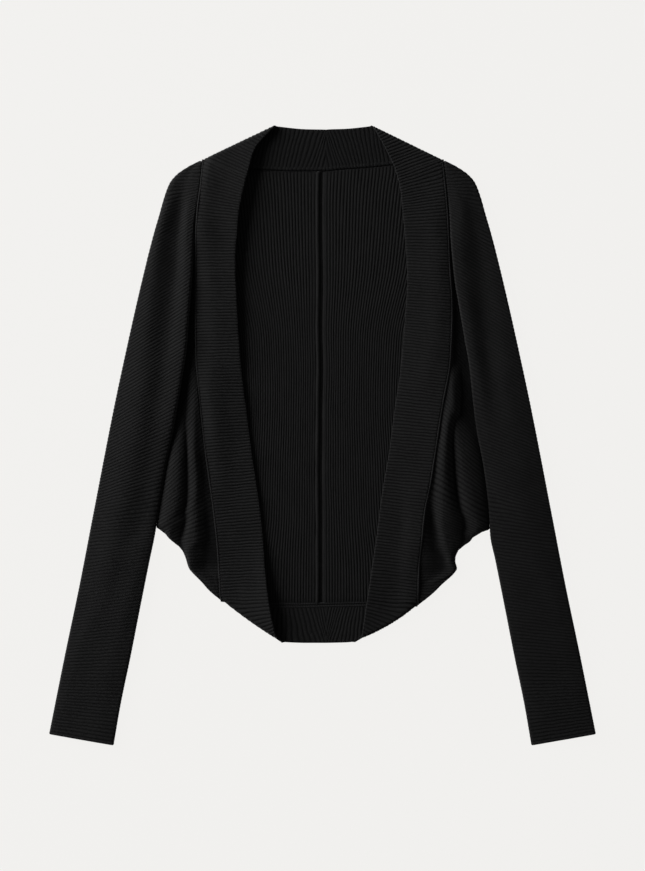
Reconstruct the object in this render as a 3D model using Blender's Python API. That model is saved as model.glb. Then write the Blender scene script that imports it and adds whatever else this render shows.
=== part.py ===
"""Open-front shrug in rib knit, lying flat with its fronts up and its neck at +Y.

It is two half panels, each a back, a batwing sleeve and a side front cut in one, joined at the
centre back, and one rib band that runs round the whole opening. Left is -X and right is +X, as
seen from above. The lowest layer (backs, neck band, hem band, undersides of the sleeves) lies on
Z = 0, and the side fronts and front bands lie on it. Every rib is a ridge of real pitch, raised
on the upper side alone. Tables are in millimetres from the middle of the spread-out shrug.
"""
from __future__ import annotations

from bisect import bisect_right
from collections.abc import Callable, Sequence

import bmesh
import bpy
from mathutils import Vector
from mathutils.geometry import tessellate_polygon

MM = 0.001

# Cloth and layers, mm
WALL = 2.0              # thickness of the rib knit
RIB = 0.5               # height of a rib over the groove beside it
SEAM = 0.3              # gap between pieces that are sewn together
EDGE_ROLL = 2.0         # how far in from an edge the cloth reaches its full height
UNDER_INSET = 1.3       # how far the plain underside stays in from the edge
BAND_UNDER = WALL + RIB + SEAM      # underside of the front bands
BAND_TOP = BAND_UNDER + 2.2         # groove level of the front bands
BAND_EDGE = BAND_TOP - 0.9          # height of a front band's edge lines
LOW_EDGE = WALL * 0.6               # height of the fold and seam lines of a band on the floor
SIDE_UNDER = WALL + SEAM            # lowest underside of the side fronts
SIDE_EDGE = SIDE_UNDER + 1.2        # height of a side front's outer edge line
SLEEVE_TOP = 6.2        # groove level of a sleeve, two walls and the air between
SLEEVE_FOLD = 3.1       # height of the fold lines along a sleeve's sides
SLEEVE_ROLL = 3.5       # how far in from its folds a sleeve is at full height
HOLLOW_FOLD = 2.6       # wall round the arm hollow at the sleeve's folds
HOLLOW_FIRST_RIB = 9    # the arm hollow starts where the sleeve is wide enough
TUCK_GAP = 0.6          # gap between a sleeve's inner fold and the layers beside it

# The centre back seam: an upright allowance on the left half, a groove on the right
CENTRE_BACK_X = -0.6
SEAM_RIDGE_TOP = 3.4
# Chains along the left half's seam: distance from the centre back line, height
SEAM_RIDGE = ((SEAM / 2, 1.4), (4.0, 1.6), (5.0, SEAM_RIDGE_TOP), (8.6, SEAM_RIDGE_TOP), (9.6, WALL))
SEAM_GROOVE = ((SEAM / 2, 1.4), (1.2, WALL))

BLACK_KNIT = (0.012, 0.012, 0.013, 1.0)
KNIT_ROUGHNESS = 0.9

Point = tuple[float, float]
Point3 = tuple[float, float, float]

# Folded outer side of a sleeve: y, distance from the centre line
SLEEVE_OUTER = (
    (302.5, 135.0), (296.0, 147.5), (287.0, 160.5), (278.0, 168.0), (261.0, 174.5), (245.0, 179.0),
    (219.0, 186.5), (166.0, 199.7), (113.0, 211.8), (34.0, 228.8), (-85.0, 252.0),
    (-164.0, 267.3), (-243.0, 283.8), (-328.5, 300.9),
)
# Inner fold of a sleeve, over the body and then free from the crotch to the cuff: y, distance
SLEEVE_INNER_LOWER = (
    (-110.0, 184.6), (-137.5, 190.3), (-190.0, 200.8), (-243.0, 211.2), (-296.0, 222.2),
    (-341.0, 230.0),
)
SLEEVE_INNER_LEFT = (
    (302.0, 132.0), (280.5, 134.4), (249.5, 138.8), (226.5, 140.8), (192.5, 142.3), (159.5, 144.5),
    (132.0, 146.8), (99.0, 149.0), (69.3, 153.4), (36.3, 159.0), (3.3, 164.6), (-27.5, 171.2),
    (-60.5, 176.6), (-88.0, 181.0),
) + SLEEVE_INNER_LOWER
SLEEVE_INNER_RIGHT = (
    (302.0, 132.8), (280.5, 135.4), (249.5, 138.8), (214.5, 140.0), (170.5, 143.5), (137.5, 149.0),
    (104.5, 154.5), (71.5, 160.0), (38.5, 163.3), (5.5, 167.8), (-27.5, 174.4), (-60.5, 179.9),
    (-88.0, 183.2),
) + SLEEVE_INNER_LOWER

# Outer side of a front band, from the shoulder fold down its seam to the fold at the hem:
# y, distance from the centre line
BAND_OUTER_LEFT = (
    (340.5, 55.5), (322.5, 93.5), (306.0, 127.5), (301.0, 131.0), (276.0, 133.5), (249.5, 137.0),
    (216.5, 139.0), (148.5, 139.5), (93.5, 139.0), (49.5, 135.8), (-5.5, 130.0), (-50.5, 124.0),
    (-87.0, 119.0), (-121.0, 115.5), (-150.5, 113.5), (-179.0, 112.0), (-183.0, 109.0),
    (-195.8, 94.0), (-210.0, 73.0), (-224.0, 51.0),
)
BAND_OUTER_RIGHT = (
    (340.5, 57.0), (322.3, 92.0), (306.0, 128.0), (301.0, 131.8), (275.0, 134.8), (236.5, 138.0),
    (198.0, 139.3), (137.5, 142.5), (82.5, 140.3), (30.8, 131.5), (-19.8, 123.8), (-50.6, 119.0),
    (-81.4, 112.8), (-112.2, 109.5), (-143.0, 106.2), (-183.0, 104.8), (-188.0, 103.0),
    (-197.0, 91.5), (-204.6, 78.5), (-210.5, 65.5), (-218.0, 52.0), (-223.5, 43.5),
)
# Free edge of a front band: y, distance from the centre line
BAND_FREE_LEFT = (
    (341.0, 52.3), (313.5, 75.4), (291.5, 82.0), (269.5, 87.5), (247.5, 91.9), (225.5, 94.0),
    (192.5, 96.3), (159.5, 95.2), (115.5, 93.0), (71.5, 89.7), (27.5, 84.2), (-16.5, 78.7),
    (-60.5, 72.0), (-104.5, 66.6), (-148.5, 63.3), (-192.5, 57.8), (-225.5, 50.5),
)
BAND_FREE_RIGHT = (
    (341.0, 55.6), (313.5, 71.0), (291.5, 80.9), (269.5, 86.4), (247.5, 88.6), (225.5, 90.8),
    (170.5, 94.0), (137.5, 91.9), (71.5, 86.4), (27.5, 79.8), (-16.5, 74.3), (-60.5, 66.6),
    (-104.5, 61.0), (-148.5, 54.5), (-192.5, 47.9), (-225.5, 43.0),
)
# Bottom outline of the body between a sleeve and the band: y, distance from the centre line
BODY_FOOT_LEFT = (
    (-101.0, 180.5), (-106.0, 175.0), (-113.3, 168.9), (-119.5, 161.5), (-124.3, 155.7),
    (-133.1, 151.3), (-146.3, 146.9), (-151.8, 142.5), (-160.6, 133.7), (-170.5, 124.9),
    (-181.5, 112.0),
)
BODY_FOOT_RIGHT = (
    (-101.0, 182.0), (-106.0, 175.0), (-111.0, 166.7), (-116.6, 162.3), (-122.1, 154.5),
    (-128.0, 148.5), (-137.5, 146.0), (-146.3, 148.0), (-151.8, 144.7), (-163.9, 131.5),
    (-172.7, 122.7), (-187.5, 104.5),
)
# Seams that join the back to the neck band and to the hem band: x, y
NECK_SEAM = (
    (-130.5, 304.0), (-106.0, 298.0), (-84.0, 293.5), (-61.5, 292.0), (-32.0, 291.0), (2.0, 291.0),
    (17.5, 292.5), (61.5, 296.0), (107.5, 301.5), (131.5, 304.0),
)
HEM_SEAM = (
    (-112.0, -183.0), (-85.0, -185.5), (-28.0, -187.0), (14.5, -186.0), (56.5, -185.5),
    (80.0, -187.0), (105.0, -188.5),
)

# Rib lines of a sleeve: rib, y at the outer fold, y at the left inner fold, y at the right one
SLEEVE_RIBS = (
    (0, 302.4, 301.9, 301.9), (3, 291.0, 292.5, 291.5), (6, 280.5, 280.5, 278.5),
    (9, 267.5, 273.0, 270.5), (12, 252.0, 264.0, 262.0), (18, 225.0, 249.5, 247.5),
    (25, 192.5, 226.5, 221.0), (35, 148.5, 189.0, 181.5), (48, 93.5, 135.5, 131.0),
    (61, 38.5, 81.5, 75.0), (72, -5.5, 34.0, 23.0), (84, -49.5, -20.0, -24.0),
    (94, -82.5, -67.0, -62.5), (99, -99.0, -92.5, -87.0), (109, -137.5, -126.5, -126.5),
    (121, -181.5, -169.5, -169.5), (134, -225.5, -218.0, -218.0), (147, -269.5, -269.5, -269.5),
    (159, -308.0, -316.0, -317.0), (165, -328.5, -341.0, -341.0),
)
# Fall of a sleeve's top between its folds: rib, place of the trough (0 outer to 1 inner), its
# height over SLEEVE_TOP, place of the swell beside the body, its height over SLEEVE_TOP
SLEEVE_FORM = (
    (0, 0.40, -0.6, 0.70, -0.6), (9, 0.40, 0.0, 0.72, 0.3), (18, 0.40, -0.5, 0.76, 1.1),
    (35, 0.47, -0.7, 0.80, 1.6), (61, 0.58, -0.7, 0.84, 1.6), (72, 0.61, -0.4, 0.85, 1.2),
    (90, 0.56, 0.0, 0.92, 0.2), (109, 0.50, 0.0, 0.955, 0.0), (165, 0.50, 0.0, 0.95, 0.0),
)

# Rib lines of a front band: rib, y at its outer side, y at its free edge
BAND_RIBS_LEFT = (
    (0, 337.5, 336.5), (6, 327.0, 322.5), (12, 316.0, 303.5), (18, 304.5, 284.0), (25, 276.0, 264.0),
    (32, 249.5, 244.0), (41, 216.5, 215.5), (61, 148.5, 148.5), (77, 93.5, 94.5), (90, 49.5, 50.5),
    (106, -5.5, -2.0), (119, -50.5, -46.0), (130, -87.0, -82.5), (140, -121.0, -118.5),
    (149, -150.5, -148.5), (158, -181.5, -180.5), (164, -203.5, -203.0), (169, -220.0, -220.0),
)
BAND_RIBS_RIGHT = (
    (0, 337.5, 336.5), (6, 327.0, 323.0), (12, 315.5, 305.0), (18, 304.0, 286.5), (25, 275.0, 265.0),
    (32, 249.5, 245.0), (41, 214.5, 215.5), (61, 145.0, 149.0), (77, 91.5, 98.5), (90, 48.5, 55.0),
    (106, -5.5, -1.0), (119, -49.5, -45.0), (130, -89.0, -82.0), (140, -123.0, -116.5),
    (149, -154.0, -148.0), (158, -185.0, -180.5), (164, -204.0, -201.0), (169, -218.5, -218.0),
)
# Rib lines of a neck band: rib, x and y at the fold line, x at the neck seam
NECK_RIBS_LEFT = (
    (0, 4.2, 294.0, 3.2), (3, 4.2, 336.8, -9.5), (8, -20.0, 337.5, -32.0), (15, -52.5, 341.0, -61.5),
    (19, -71.0, 332.5, -84.0), (24, -96.5, 320.5, -106.0), (29, -126.0, 306.5, -128.5),
)
NECK_RIBS_RIGHT = (
    (0, 4.7, 294.0, 5.4), (3, 4.7, 336.8, 17.5), (9, 27.5, 338.0, 39.0), (15, 53.5, 341.0, 61.5),
    (19, 70.0, 333.5, 83.0), (24, 96.5, 320.5, 107.5), (29, 127.0, 306.0, 129.5),
)
# Rib lines of a hem band: rib, x and y at the fold line, x at the hem seam
HEM_RIBS_LEFT = (
    (0, 4.3, -190.5, 3.3), (3, 4.3, -228.5, -5.5), (8, -18.5, -228.5, -28.0),
    (13, -43.0, -227.5, -48.5), (16, -53.5, -222.5, -62.0), (22, -80.0, -205.3, -85.0),
    (29, -107.5, -184.8, -109.0),
)
HEM_RIBS_RIGHT = (
    (0, 4.8, -190.0, 5.6), (3, 4.8, -228.5, 14.5), (9, 25.0, -228.0, 33.5), (13, 37.5, -226.5, 46.0),
    (16, 46.0, -222.5, 56.5), (22, 70.0, -207.8, 80.0), (29, 99.5, -188.9, 102.0),
)

# Rib lines of a side front: rib, y at its outer side, y at the band seam
SIDE_RIBS_LEFT = (
    (14, 139.0, 147.5), (17, 126.5, 135.5), (25, 93.5, 106.5), (31, 66.0, 84.5), (37, 35.0, 60.5),
    (43, 3.5, 34.0), (47, -20.0, 16.5), (52, -45.0, -5.5), (57, -69.0, -30.5), (63, -93.0, -58.0),
    (66, -103.5, -71.5), (70, -112.0, -93.0), (73, -120.0, -110.0), (76, -125.5, -124.5),
    (79, -136.5, -136.5), (82, -146.5, -146.5), (86, -159.0, -159.5), (91, -177.5, -176.5),
)
SIDE_RIBS_RIGHT = (
    (8, 137.5, 146.5), (16, 104.5, 117.5), (22, 71.5, 93.5), (29, 38.5, 68.0),
    (36, 5.5, 42.0), (43, -27.5, 12.0), (49, -57.0, -16.0), (54, -80.5, -44.0), (58, -101.5, -68.0),
    (63, -108.5, -84.5), (68, -116.5, -101.0), (71, -122.0, -116.5), (74, -128.5, -127.5),
    (77, -137.5, -137.5), (79, -144.0, -144.0), (82, -152.0, -153.0), (86, -164.5, -166.0),
    (91, -182.5, -181.5),
)
# Folds of a side front. Outer fold, valley, inner fold and hollow, each as its place along the
# rib line (0 outer side to 1 band seam) and the height of the cloth's upper face:
# rib, outer fold, valley, inner fold, hollow
SIDE_FORM_LEFT = (
    (14, 0.20, 4.5, 0.42, 4.5, 0.60, 4.5, 0.80, 4.5), (31, 0.16, 4.6, 0.42, 4.5, 0.60, 4.8, 0.82, 4.6),
    (37, 0.14, 6.0, 0.42, 4.6, 0.62, 6.6, 0.82, 4.7), (43, 0.13, 7.6, 0.44, 4.5, 0.62, 8.6, 0.82, 4.7),
    (52, 0.15, 8.6, 0.46, 4.4, 0.62, 9.5, 0.82, 4.5), (63, 0.17, 8.6, 0.40, 4.4, 0.59, 9.5, 0.80, 4.4),
    (68, 0.13, 7.4, 0.31, 4.4, 0.50, 9.0, 0.77, 4.4), (73, 0.10, 5.2, 0.20, 4.5, 0.36, 8.0, 0.69, 4.4),
    (79, 0.10, 4.6, 0.18, 4.8, 0.30, 5.8, 0.62, 4.5), (91, 0.16, 4.4, 0.38, 4.4, 0.60, 4.4, 0.80, 4.4),
)
SIDE_FORM_RIGHT = (
    (8, 0.20, 4.5, 0.45, 4.5, 0.65, 4.5, 0.84, 4.5), (29, 0.30, 4.6, 0.50, 4.5, 0.70, 5.0, 0.86, 4.9),
    (36, 0.60, 6.4, 0.72, 4.8, 0.84, 7.0, 0.92, 5.6), (43, 0.57, 8.0, 0.69, 4.6, 0.84, 9.0, 0.93, 5.4),
    (49, 0.47, 9.0, 0.63, 4.4, 0.83, 9.5, 0.93, 5.2), (54, 0.39, 9.0, 0.58, 4.4, 0.80, 9.5, 0.92, 5.0),
    (58, 0.31, 8.6, 0.49, 4.4, 0.76, 9.5, 0.90, 4.8), (63, 0.16, 7.4, 0.30, 4.4, 0.66, 9.0, 0.88, 4.5),
    (68, 0.10, 5.0, 0.22, 4.6, 0.53, 8.5, 0.85, 4.4), (74, 0.10, 4.5, 0.17, 4.9, 0.27, 7.4, 0.73, 4.4),
    (79, 0.09, 4.5, 0.15, 4.9, 0.23, 6.0, 0.70, 4.4), (86, 0.12, 4.4, 0.30, 4.4, 0.50, 4.8, 0.76, 4.4),
    (91, 0.16, 4.4, 0.38, 4.4, 0.60, 4.4, 0.80, 4.4),
)
SIDE_STATION_STEP = 5

# Rib lines of the back, which spread towards the neck and the hem: y, pitch
BACK_PITCH = (
    (291.0, 3.85), (269.5, 3.68), (187.0, 3.30), (104.5, 2.66), (38.5, 2.58), (-33.0, 2.70),
    (-88.0, 2.80), (-143.0, 3.08), (-185.0, 3.15),
)
BACK_RIB_ROWS = (0.0, 0.03, 0.2, 0.4, 0.6, 0.8, 0.97, 1.0)
BACK_UNDER_BAND = 5.0               # how far the ribs run on under the front band
BACK_WIDEST_Y = 60.0                # between the neck and the hem, where the ribs lie closest
CROTCH_Y = -95.0                    # below it the body's outline leaves the sleeve
SEAM_POINTS = 9                     # corners along a seam where no rib ends


class Curve:
    """A smooth curve through rows of (position, value) that never overshoots its rows."""

    def __init__(self, rows: Sequence[Sequence[float]], column: int = 1) -> None:
        """Sort the rows by position and set a slope at each, by Fritsch and Carlson's rule."""
        pairs = sorted((row[0], row[column]) for row in rows)
        self.at = [pair[0] for pair in pairs]
        self.value = [pair[1] for pair in pairs]
        gaps = [b - a for a, b in zip(self.at, self.at[1:])]
        rises = [(b - a) / gap for a, b, gap in zip(self.value, self.value[1:], gaps)]
        inner = [0.0 if a * b <= 0 else 2 * a * b / (a + b) for a, b in zip(rises, rises[1:])]
        self.slope = [rises[0], *inner, rises[-1]]

    def __call__(self, position: float) -> float:
        """Value of the curve at a position, held at its ends beyond them."""
        if position <= self.at[0]:
            return self.value[0]
        if position >= self.at[-1]:
            return self.value[-1]
        i = bisect_right(self.at, position) - 1
        gap = self.at[i + 1] - self.at[i]
        u = (position - self.at[i]) / gap
        return (
            (1 + 2 * u) * (1 - u) ** 2 * self.value[i]
            + u * (1 - u) ** 2 * gap * self.slope[i]
            + u * u * (3 - 2 * u) * self.value[i + 1]
            + u * u * (u - 1) * gap * self.slope[i + 1]
        )


class Cloth:
    """Corners and triangles of one closed piece, gathered chain by chain, in millimetres."""

    def __init__(self, name: str) -> None:
        """Start an empty piece."""
        self.name = name
        self.corners: list[Point3] = []
        self.faces: list[tuple[int, ...]] = []

    def chain(self, points: Sequence[Point3]) -> list[int]:
        """Add a run of corners and return their numbers."""
        start = len(self.corners)
        self.corners.extend(points)
        return list(range(start, len(self.corners)))

    def stitch(self, first: Sequence[int], second: Sequence[int]) -> None:
        """Join two chains that run the same way by triangles, taking turns by their lengths."""
        reach_a, reach_b = self._reach(first), self._reach(second)
        i = j = 0
        while i < len(first) - 1 or j < len(second) - 1:
            next_a = reach_a[i + 1] if i < len(first) - 1 else 2.0
            next_b = reach_b[j + 1] if j < len(second) - 1 else 2.0
            if next_a <= next_b:
                corners = (first[i], first[i + 1], second[j])
                i += 1
            else:
                corners = (first[i], second[j + 1], second[j])
                j += 1
            if len(set(corners)) == 3:
                self.faces.append(corners)

    def _reach(self, chain: Sequence[int]) -> list[float]:
        """Length along a chain at each corner, as a share of the whole."""
        points = [Vector(self.corners[i]) for i in chain]
        lengths = [0.0]
        for a, b in zip(points, points[1:]):
            lengths.append(lengths[-1] + (b - a).length)
        return [length / max(lengths[-1], 1e-9) for length in lengths]

    def sheet(self, chains: Sequence[Sequence[int]]) -> None:
        """Stitch each chain to the next."""
        for first, second in zip(chains, chains[1:]):
            self.stitch(first, second)

    def close(self, upper: Sequence[Sequence[int]], under: Sequence[Sequence[int]]) -> None:
        """Join the rims of an upper and an under side, both given as chains from top to bottom."""
        self.stitch(upper[0], under[0])
        self.stitch(upper[-1], under[-1])
        for end in (0, -1):
            self.stitch([chain[end] for chain in upper], [chain[end] for chain in under])

    def fill(self, loop: Sequence[int]) -> None:
        """Fill a flat loop with triangles."""
        points = [Vector(self.corners[i]) for i in loop]
        for triangle in tessellate_polygon([points]):
            self.faces.append(tuple(loop[i] for i in triangle))

    def build(self, material: bpy.types.Material) -> bpy.types.Object:
        """Make the mesh object, with every face turned outwards."""
        mesh = bpy.data.meshes.new(self.name)
        shape = bmesh.new()
        corners = [shape.verts.new(Vector(point) * MM) for point in self.corners]
        for face in self.faces:
            shape.faces.new([corners[i] for i in face])
        loose = [corner for corner in shape.verts if not corner.link_faces]
        bmesh.ops.delete(shape, geom=loose, context="VERTS")
        bmesh.ops.recalc_face_normals(shape, faces=shape.faces)
        shape.to_mesh(mesh)
        shape.free()
        mesh.materials.append(material)
        piece = bpy.data.objects.new(self.name, mesh)
        bpy.context.scene.collection.objects.link(piece)
        return piece


RowEnds = Callable[[float], tuple[Point, Point]]
Column = Callable[[float], tuple[float, float]]


def along(ends: tuple[Point, Point], t: float) -> Point:
    """Point a share t of the way along a rib line."""
    (ax, ay), (bx, by) = ends
    return ax + (bx - ax) * t, ay + (by - ay) * t


def share(ends: tuple[Point, Point], distance: float, most: float) -> float:
    """A distance along a rib line as a share of its length, and no more than the given share."""
    (ax, ay), (bx, by) = ends
    return min(distance / ((bx - ax) ** 2 + (by - ay) ** 2) ** 0.5, most)


def evenly(start: float, stop: float, count: int) -> list[float]:
    """Values from start to stop with both ends."""
    return [start + (stop - start) * i / (count - 1) for i in range(count)]


def rib_height(rib: float) -> float:
    """Height of the knit over its grooves: 0 at a whole rib, RIB half way to the next."""
    return RIB if rib % 1.0 else 0.0


def side_rows(side: int, outer: Curve, inner: Curve, rib_rows, inner_column: int = 2) -> RowEnds:
    """Rib lines between two edges given as distances from the centre line by y."""
    outer_y, inner_y = Curve(rib_rows, 1), Curve(rib_rows, inner_column)

    def ends(rib: float) -> tuple[Point, Point]:
        ya, yb = outer_y(rib), inner_y(rib)
        return (side * outer(ya), ya), (side * inner(yb), yb)
    return ends


def shifted(rows: Sequence[Point], distance: float) -> Curve:
    """A curve through rows whose values are all moved by a distance."""
    return Curve([(at, value + distance) for at, value in rows])


def ribbed_top(cloth: Cloth, ends: RowEnds, ribs: tuple[int, int], edges: tuple[float, float],
               columns: Sequence[Column]) -> list[list[int]]:
    """Upper side of a ribbed piece, as chains that run across its ribs.

    Each column gives, for a rib, its place along the rib line and the groove's height there. The
    two edges are plain lines, at the given heights, with a corner at each whole rib.
    """
    first, last = ribs
    whole = [float(rib) for rib in range(first, last + 1)]
    fine = [first + i * 0.5 for i in range((last - first) * 2 + 1)]
    chains = [cloth.chain([(*along(ends(rib), 0.0), edges[0]) for rib in whole])]
    for column in columns:
        points = []
        for rib in fine:
            place, height = column(rib)
            points.append((*along(ends(rib), place), height + rib_height(rib)))
        chains.append(cloth.chain(points))
    chains.append(cloth.chain([(*along(ends(rib), 1.0), edges[1]) for rib in whole]))
    cloth.sheet(chains)
    return chains


def under_edges(cloth: Cloth, ends: RowEnds, stations: Sequence[float], inset: float,
                height: float) -> list[list[int]]:
    """The two long edges of a plain underside, drawn in from the edges of the upper side."""
    chains = []
    for outer in (True, False):
        points = []
        for rib in stations:
            place = share(ends(rib), inset, 0.3)
            points.append((*along(ends(rib), place if outer else 1.0 - place), height))
        chains.append(cloth.chain(points))
    return chains


def level_columns(ends: RowEnds, height: float) -> list[Column]:
    """Two columns at one height, EDGE_ROLL in from either edge of a piece."""
    def inset(rib: float) -> float:
        return share(ends(rib), EDGE_ROLL, 0.35)
    return [lambda rib: (inset(rib), height), lambda rib: (1.0 - inset(rib), height)]


def strip(name: str, ends: RowEnds, rib_rows, under: float, edge: float, top: float, material) -> None:
    """A level ribbed strip of the band."""
    cloth = Cloth(name)
    stations = [row[0] for row in rib_rows]
    upper = ribbed_top(cloth, ends, (stations[0], stations[-1]), (edge, edge), level_columns(ends, top))
    lower = under_edges(cloth, ends, stations, UNDER_INSET, under)
    cloth.sheet(lower)
    cloth.close(upper, lower)
    cloth.build(material)


def front_band(name: str, side: int, outer, free, rib_rows, material) -> None:
    """One front of the rib band, from the shoulder fold to the hem fold."""
    ends = side_rows(side, shifted(outer, -SEAM / 2), Curve(free), rib_rows)
    strip(name, ends, rib_rows, BAND_UNDER, BAND_EDGE, BAND_TOP, material)


def end_band(name: str, rib_rows, seam: Curve, seam_gap: float, material) -> None:
    """Half of the band at the neck or the hem, from its fold line to its seam on the back."""
    fold_x, fold_y, seam_x = (Curve(rib_rows, column) for column in (1, 2, 3))

    def ends(rib: float) -> tuple[Point, Point]:
        return (fold_x(rib), fold_y(rib)), (seam_x(rib), seam(seam_x(rib)) + seam_gap)

    strip(name, ends, rib_rows, 0.0, LOW_EDGE, WALL, material)


def body_edge(inner, foot) -> Curve:
    """Outer edge of the body's layers: beside the sleeve, then along the foot of the body."""
    beside = [(y, x - TUCK_GAP) for y, x in inner if y > CROTCH_Y]
    return Curve([*beside, *foot])


def side_front(name: str, side: int, edge: Curve, band, rib_rows, form, material) -> None:
    """Front of a half panel between the sleeve and the band, with its two soft folds."""
    cloth = Cloth(name)
    ends = side_rows(side, edge, shifted(band, SEAM / 2), rib_rows)
    folds = [(Curve(form, column), Curve(form, column + 1)) for column in (1, 3, 5, 7)]
    columns = [lambda rib, fold=fold: (fold[0](rib), fold[1](rib)) for fold in folds]
    first, last = rib_rows[0][0], rib_rows[-1][0]
    upper = ribbed_top(cloth, ends, (first, last), (SIDE_EDGE, BAND_EDGE), columns)
    stations = [*range(first, last, SIDE_STATION_STEP), last]
    outer, inner = under_edges(cloth, ends, stations, UNDER_INSET, SIDE_UNDER)
    middle = []
    for place, height in folds:
        points = [(*along(ends(rib), place(rib)), max(SIDE_UNDER, height(rib) - WALL)) for rib in stations]
        middle.append(cloth.chain(points))
    under = [outer, *middle, inner]
    cloth.sheet(under)
    cloth.close(upper, under)
    cloth.build(material)


def sleeve(name: str, side: int, inner, inner_column: int, material) -> None:
    """A sleeve: a flattened tube, closed at the shoulder fold and open at the cuff."""
    cloth = Cloth(name)
    ends = side_rows(side, Curve(SLEEVE_OUTER), Curve(inner), SLEEVE_RIBS, inner_column)
    trough, trough_rise, swell, swell_rise = (Curve(SLEEVE_FORM, column) for column in range(1, 5))

    def shoulder(rib: float) -> float:
        return share(ends(rib), SLEEVE_ROLL, 0.25)

    def columns(inset: Callable[[float], float], drop: float) -> list[Column]:
        """The top's three fall lines, as places along a rib line and heights."""
        return [
            lambda rib: (inset(rib), SLEEVE_TOP - drop),
            lambda rib: (trough(rib), SLEEVE_TOP + trough_rise(rib) - drop),
            lambda rib: (min(swell(rib), 1.0 - inset(rib)), SLEEVE_TOP + swell_rise(rib) - drop),
        ]

    stations = [row[0] for row in SLEEVE_RIBS]
    upper = ribbed_top(cloth, ends, (stations[0], stations[-1]), (SLEEVE_FOLD, SLEEVE_FOLD),
                       columns(shoulder, 0.0))
    under = under_edges(cloth, ends, stations, SLEEVE_ROLL, 0.0)
    cloth.sheet(under)
    cloth.stitch(upper[0], under[0])
    cloth.stitch(upper[-1], under[-1])
    cloth.stitch([chain[0] for chain in upper], [chain[0] for chain in under])

    def hollow_ring(rib: float) -> list[int]:
        """Inner faces of the walls round the arm hollow, starting at its outer fold."""
        fold = share(ends(rib), HOLLOW_FOLD, 0.2)
        wide = share(ends(rib), HOLLOW_FOLD + SLEEVE_ROLL, 0.3)
        roof = [column(rib) for column in columns(lambda rib: wide, WALL)]
        ring = [(fold, SLEEVE_FOLD), *roof, (1.0 - fold, SLEEVE_FOLD), (1.0 - wide, WALL), (wide, WALL)]
        return cloth.chain([(*along(ends(rib), place), height) for place, height in ring])

    hollow = [hollow_ring(rib) for rib in stations if rib >= HOLLOW_FIRST_RIB]
    for ring, following in zip(hollow, hollow[1:]):
        cloth.stitch([*ring, ring[0]], [*following, following[0]])
    blind = hollow[0]
    cloth.stitch(blind[:4], [blind[0], *reversed(blind[3:])])
    rim = [*(chain[-1] for chain in upper), under[1][-1], under[0][-1], upper[0][-1]]
    cloth.stitch(rim, [*hollow[-1], hollow[-1][0]])
    cloth.build(material)


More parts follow.
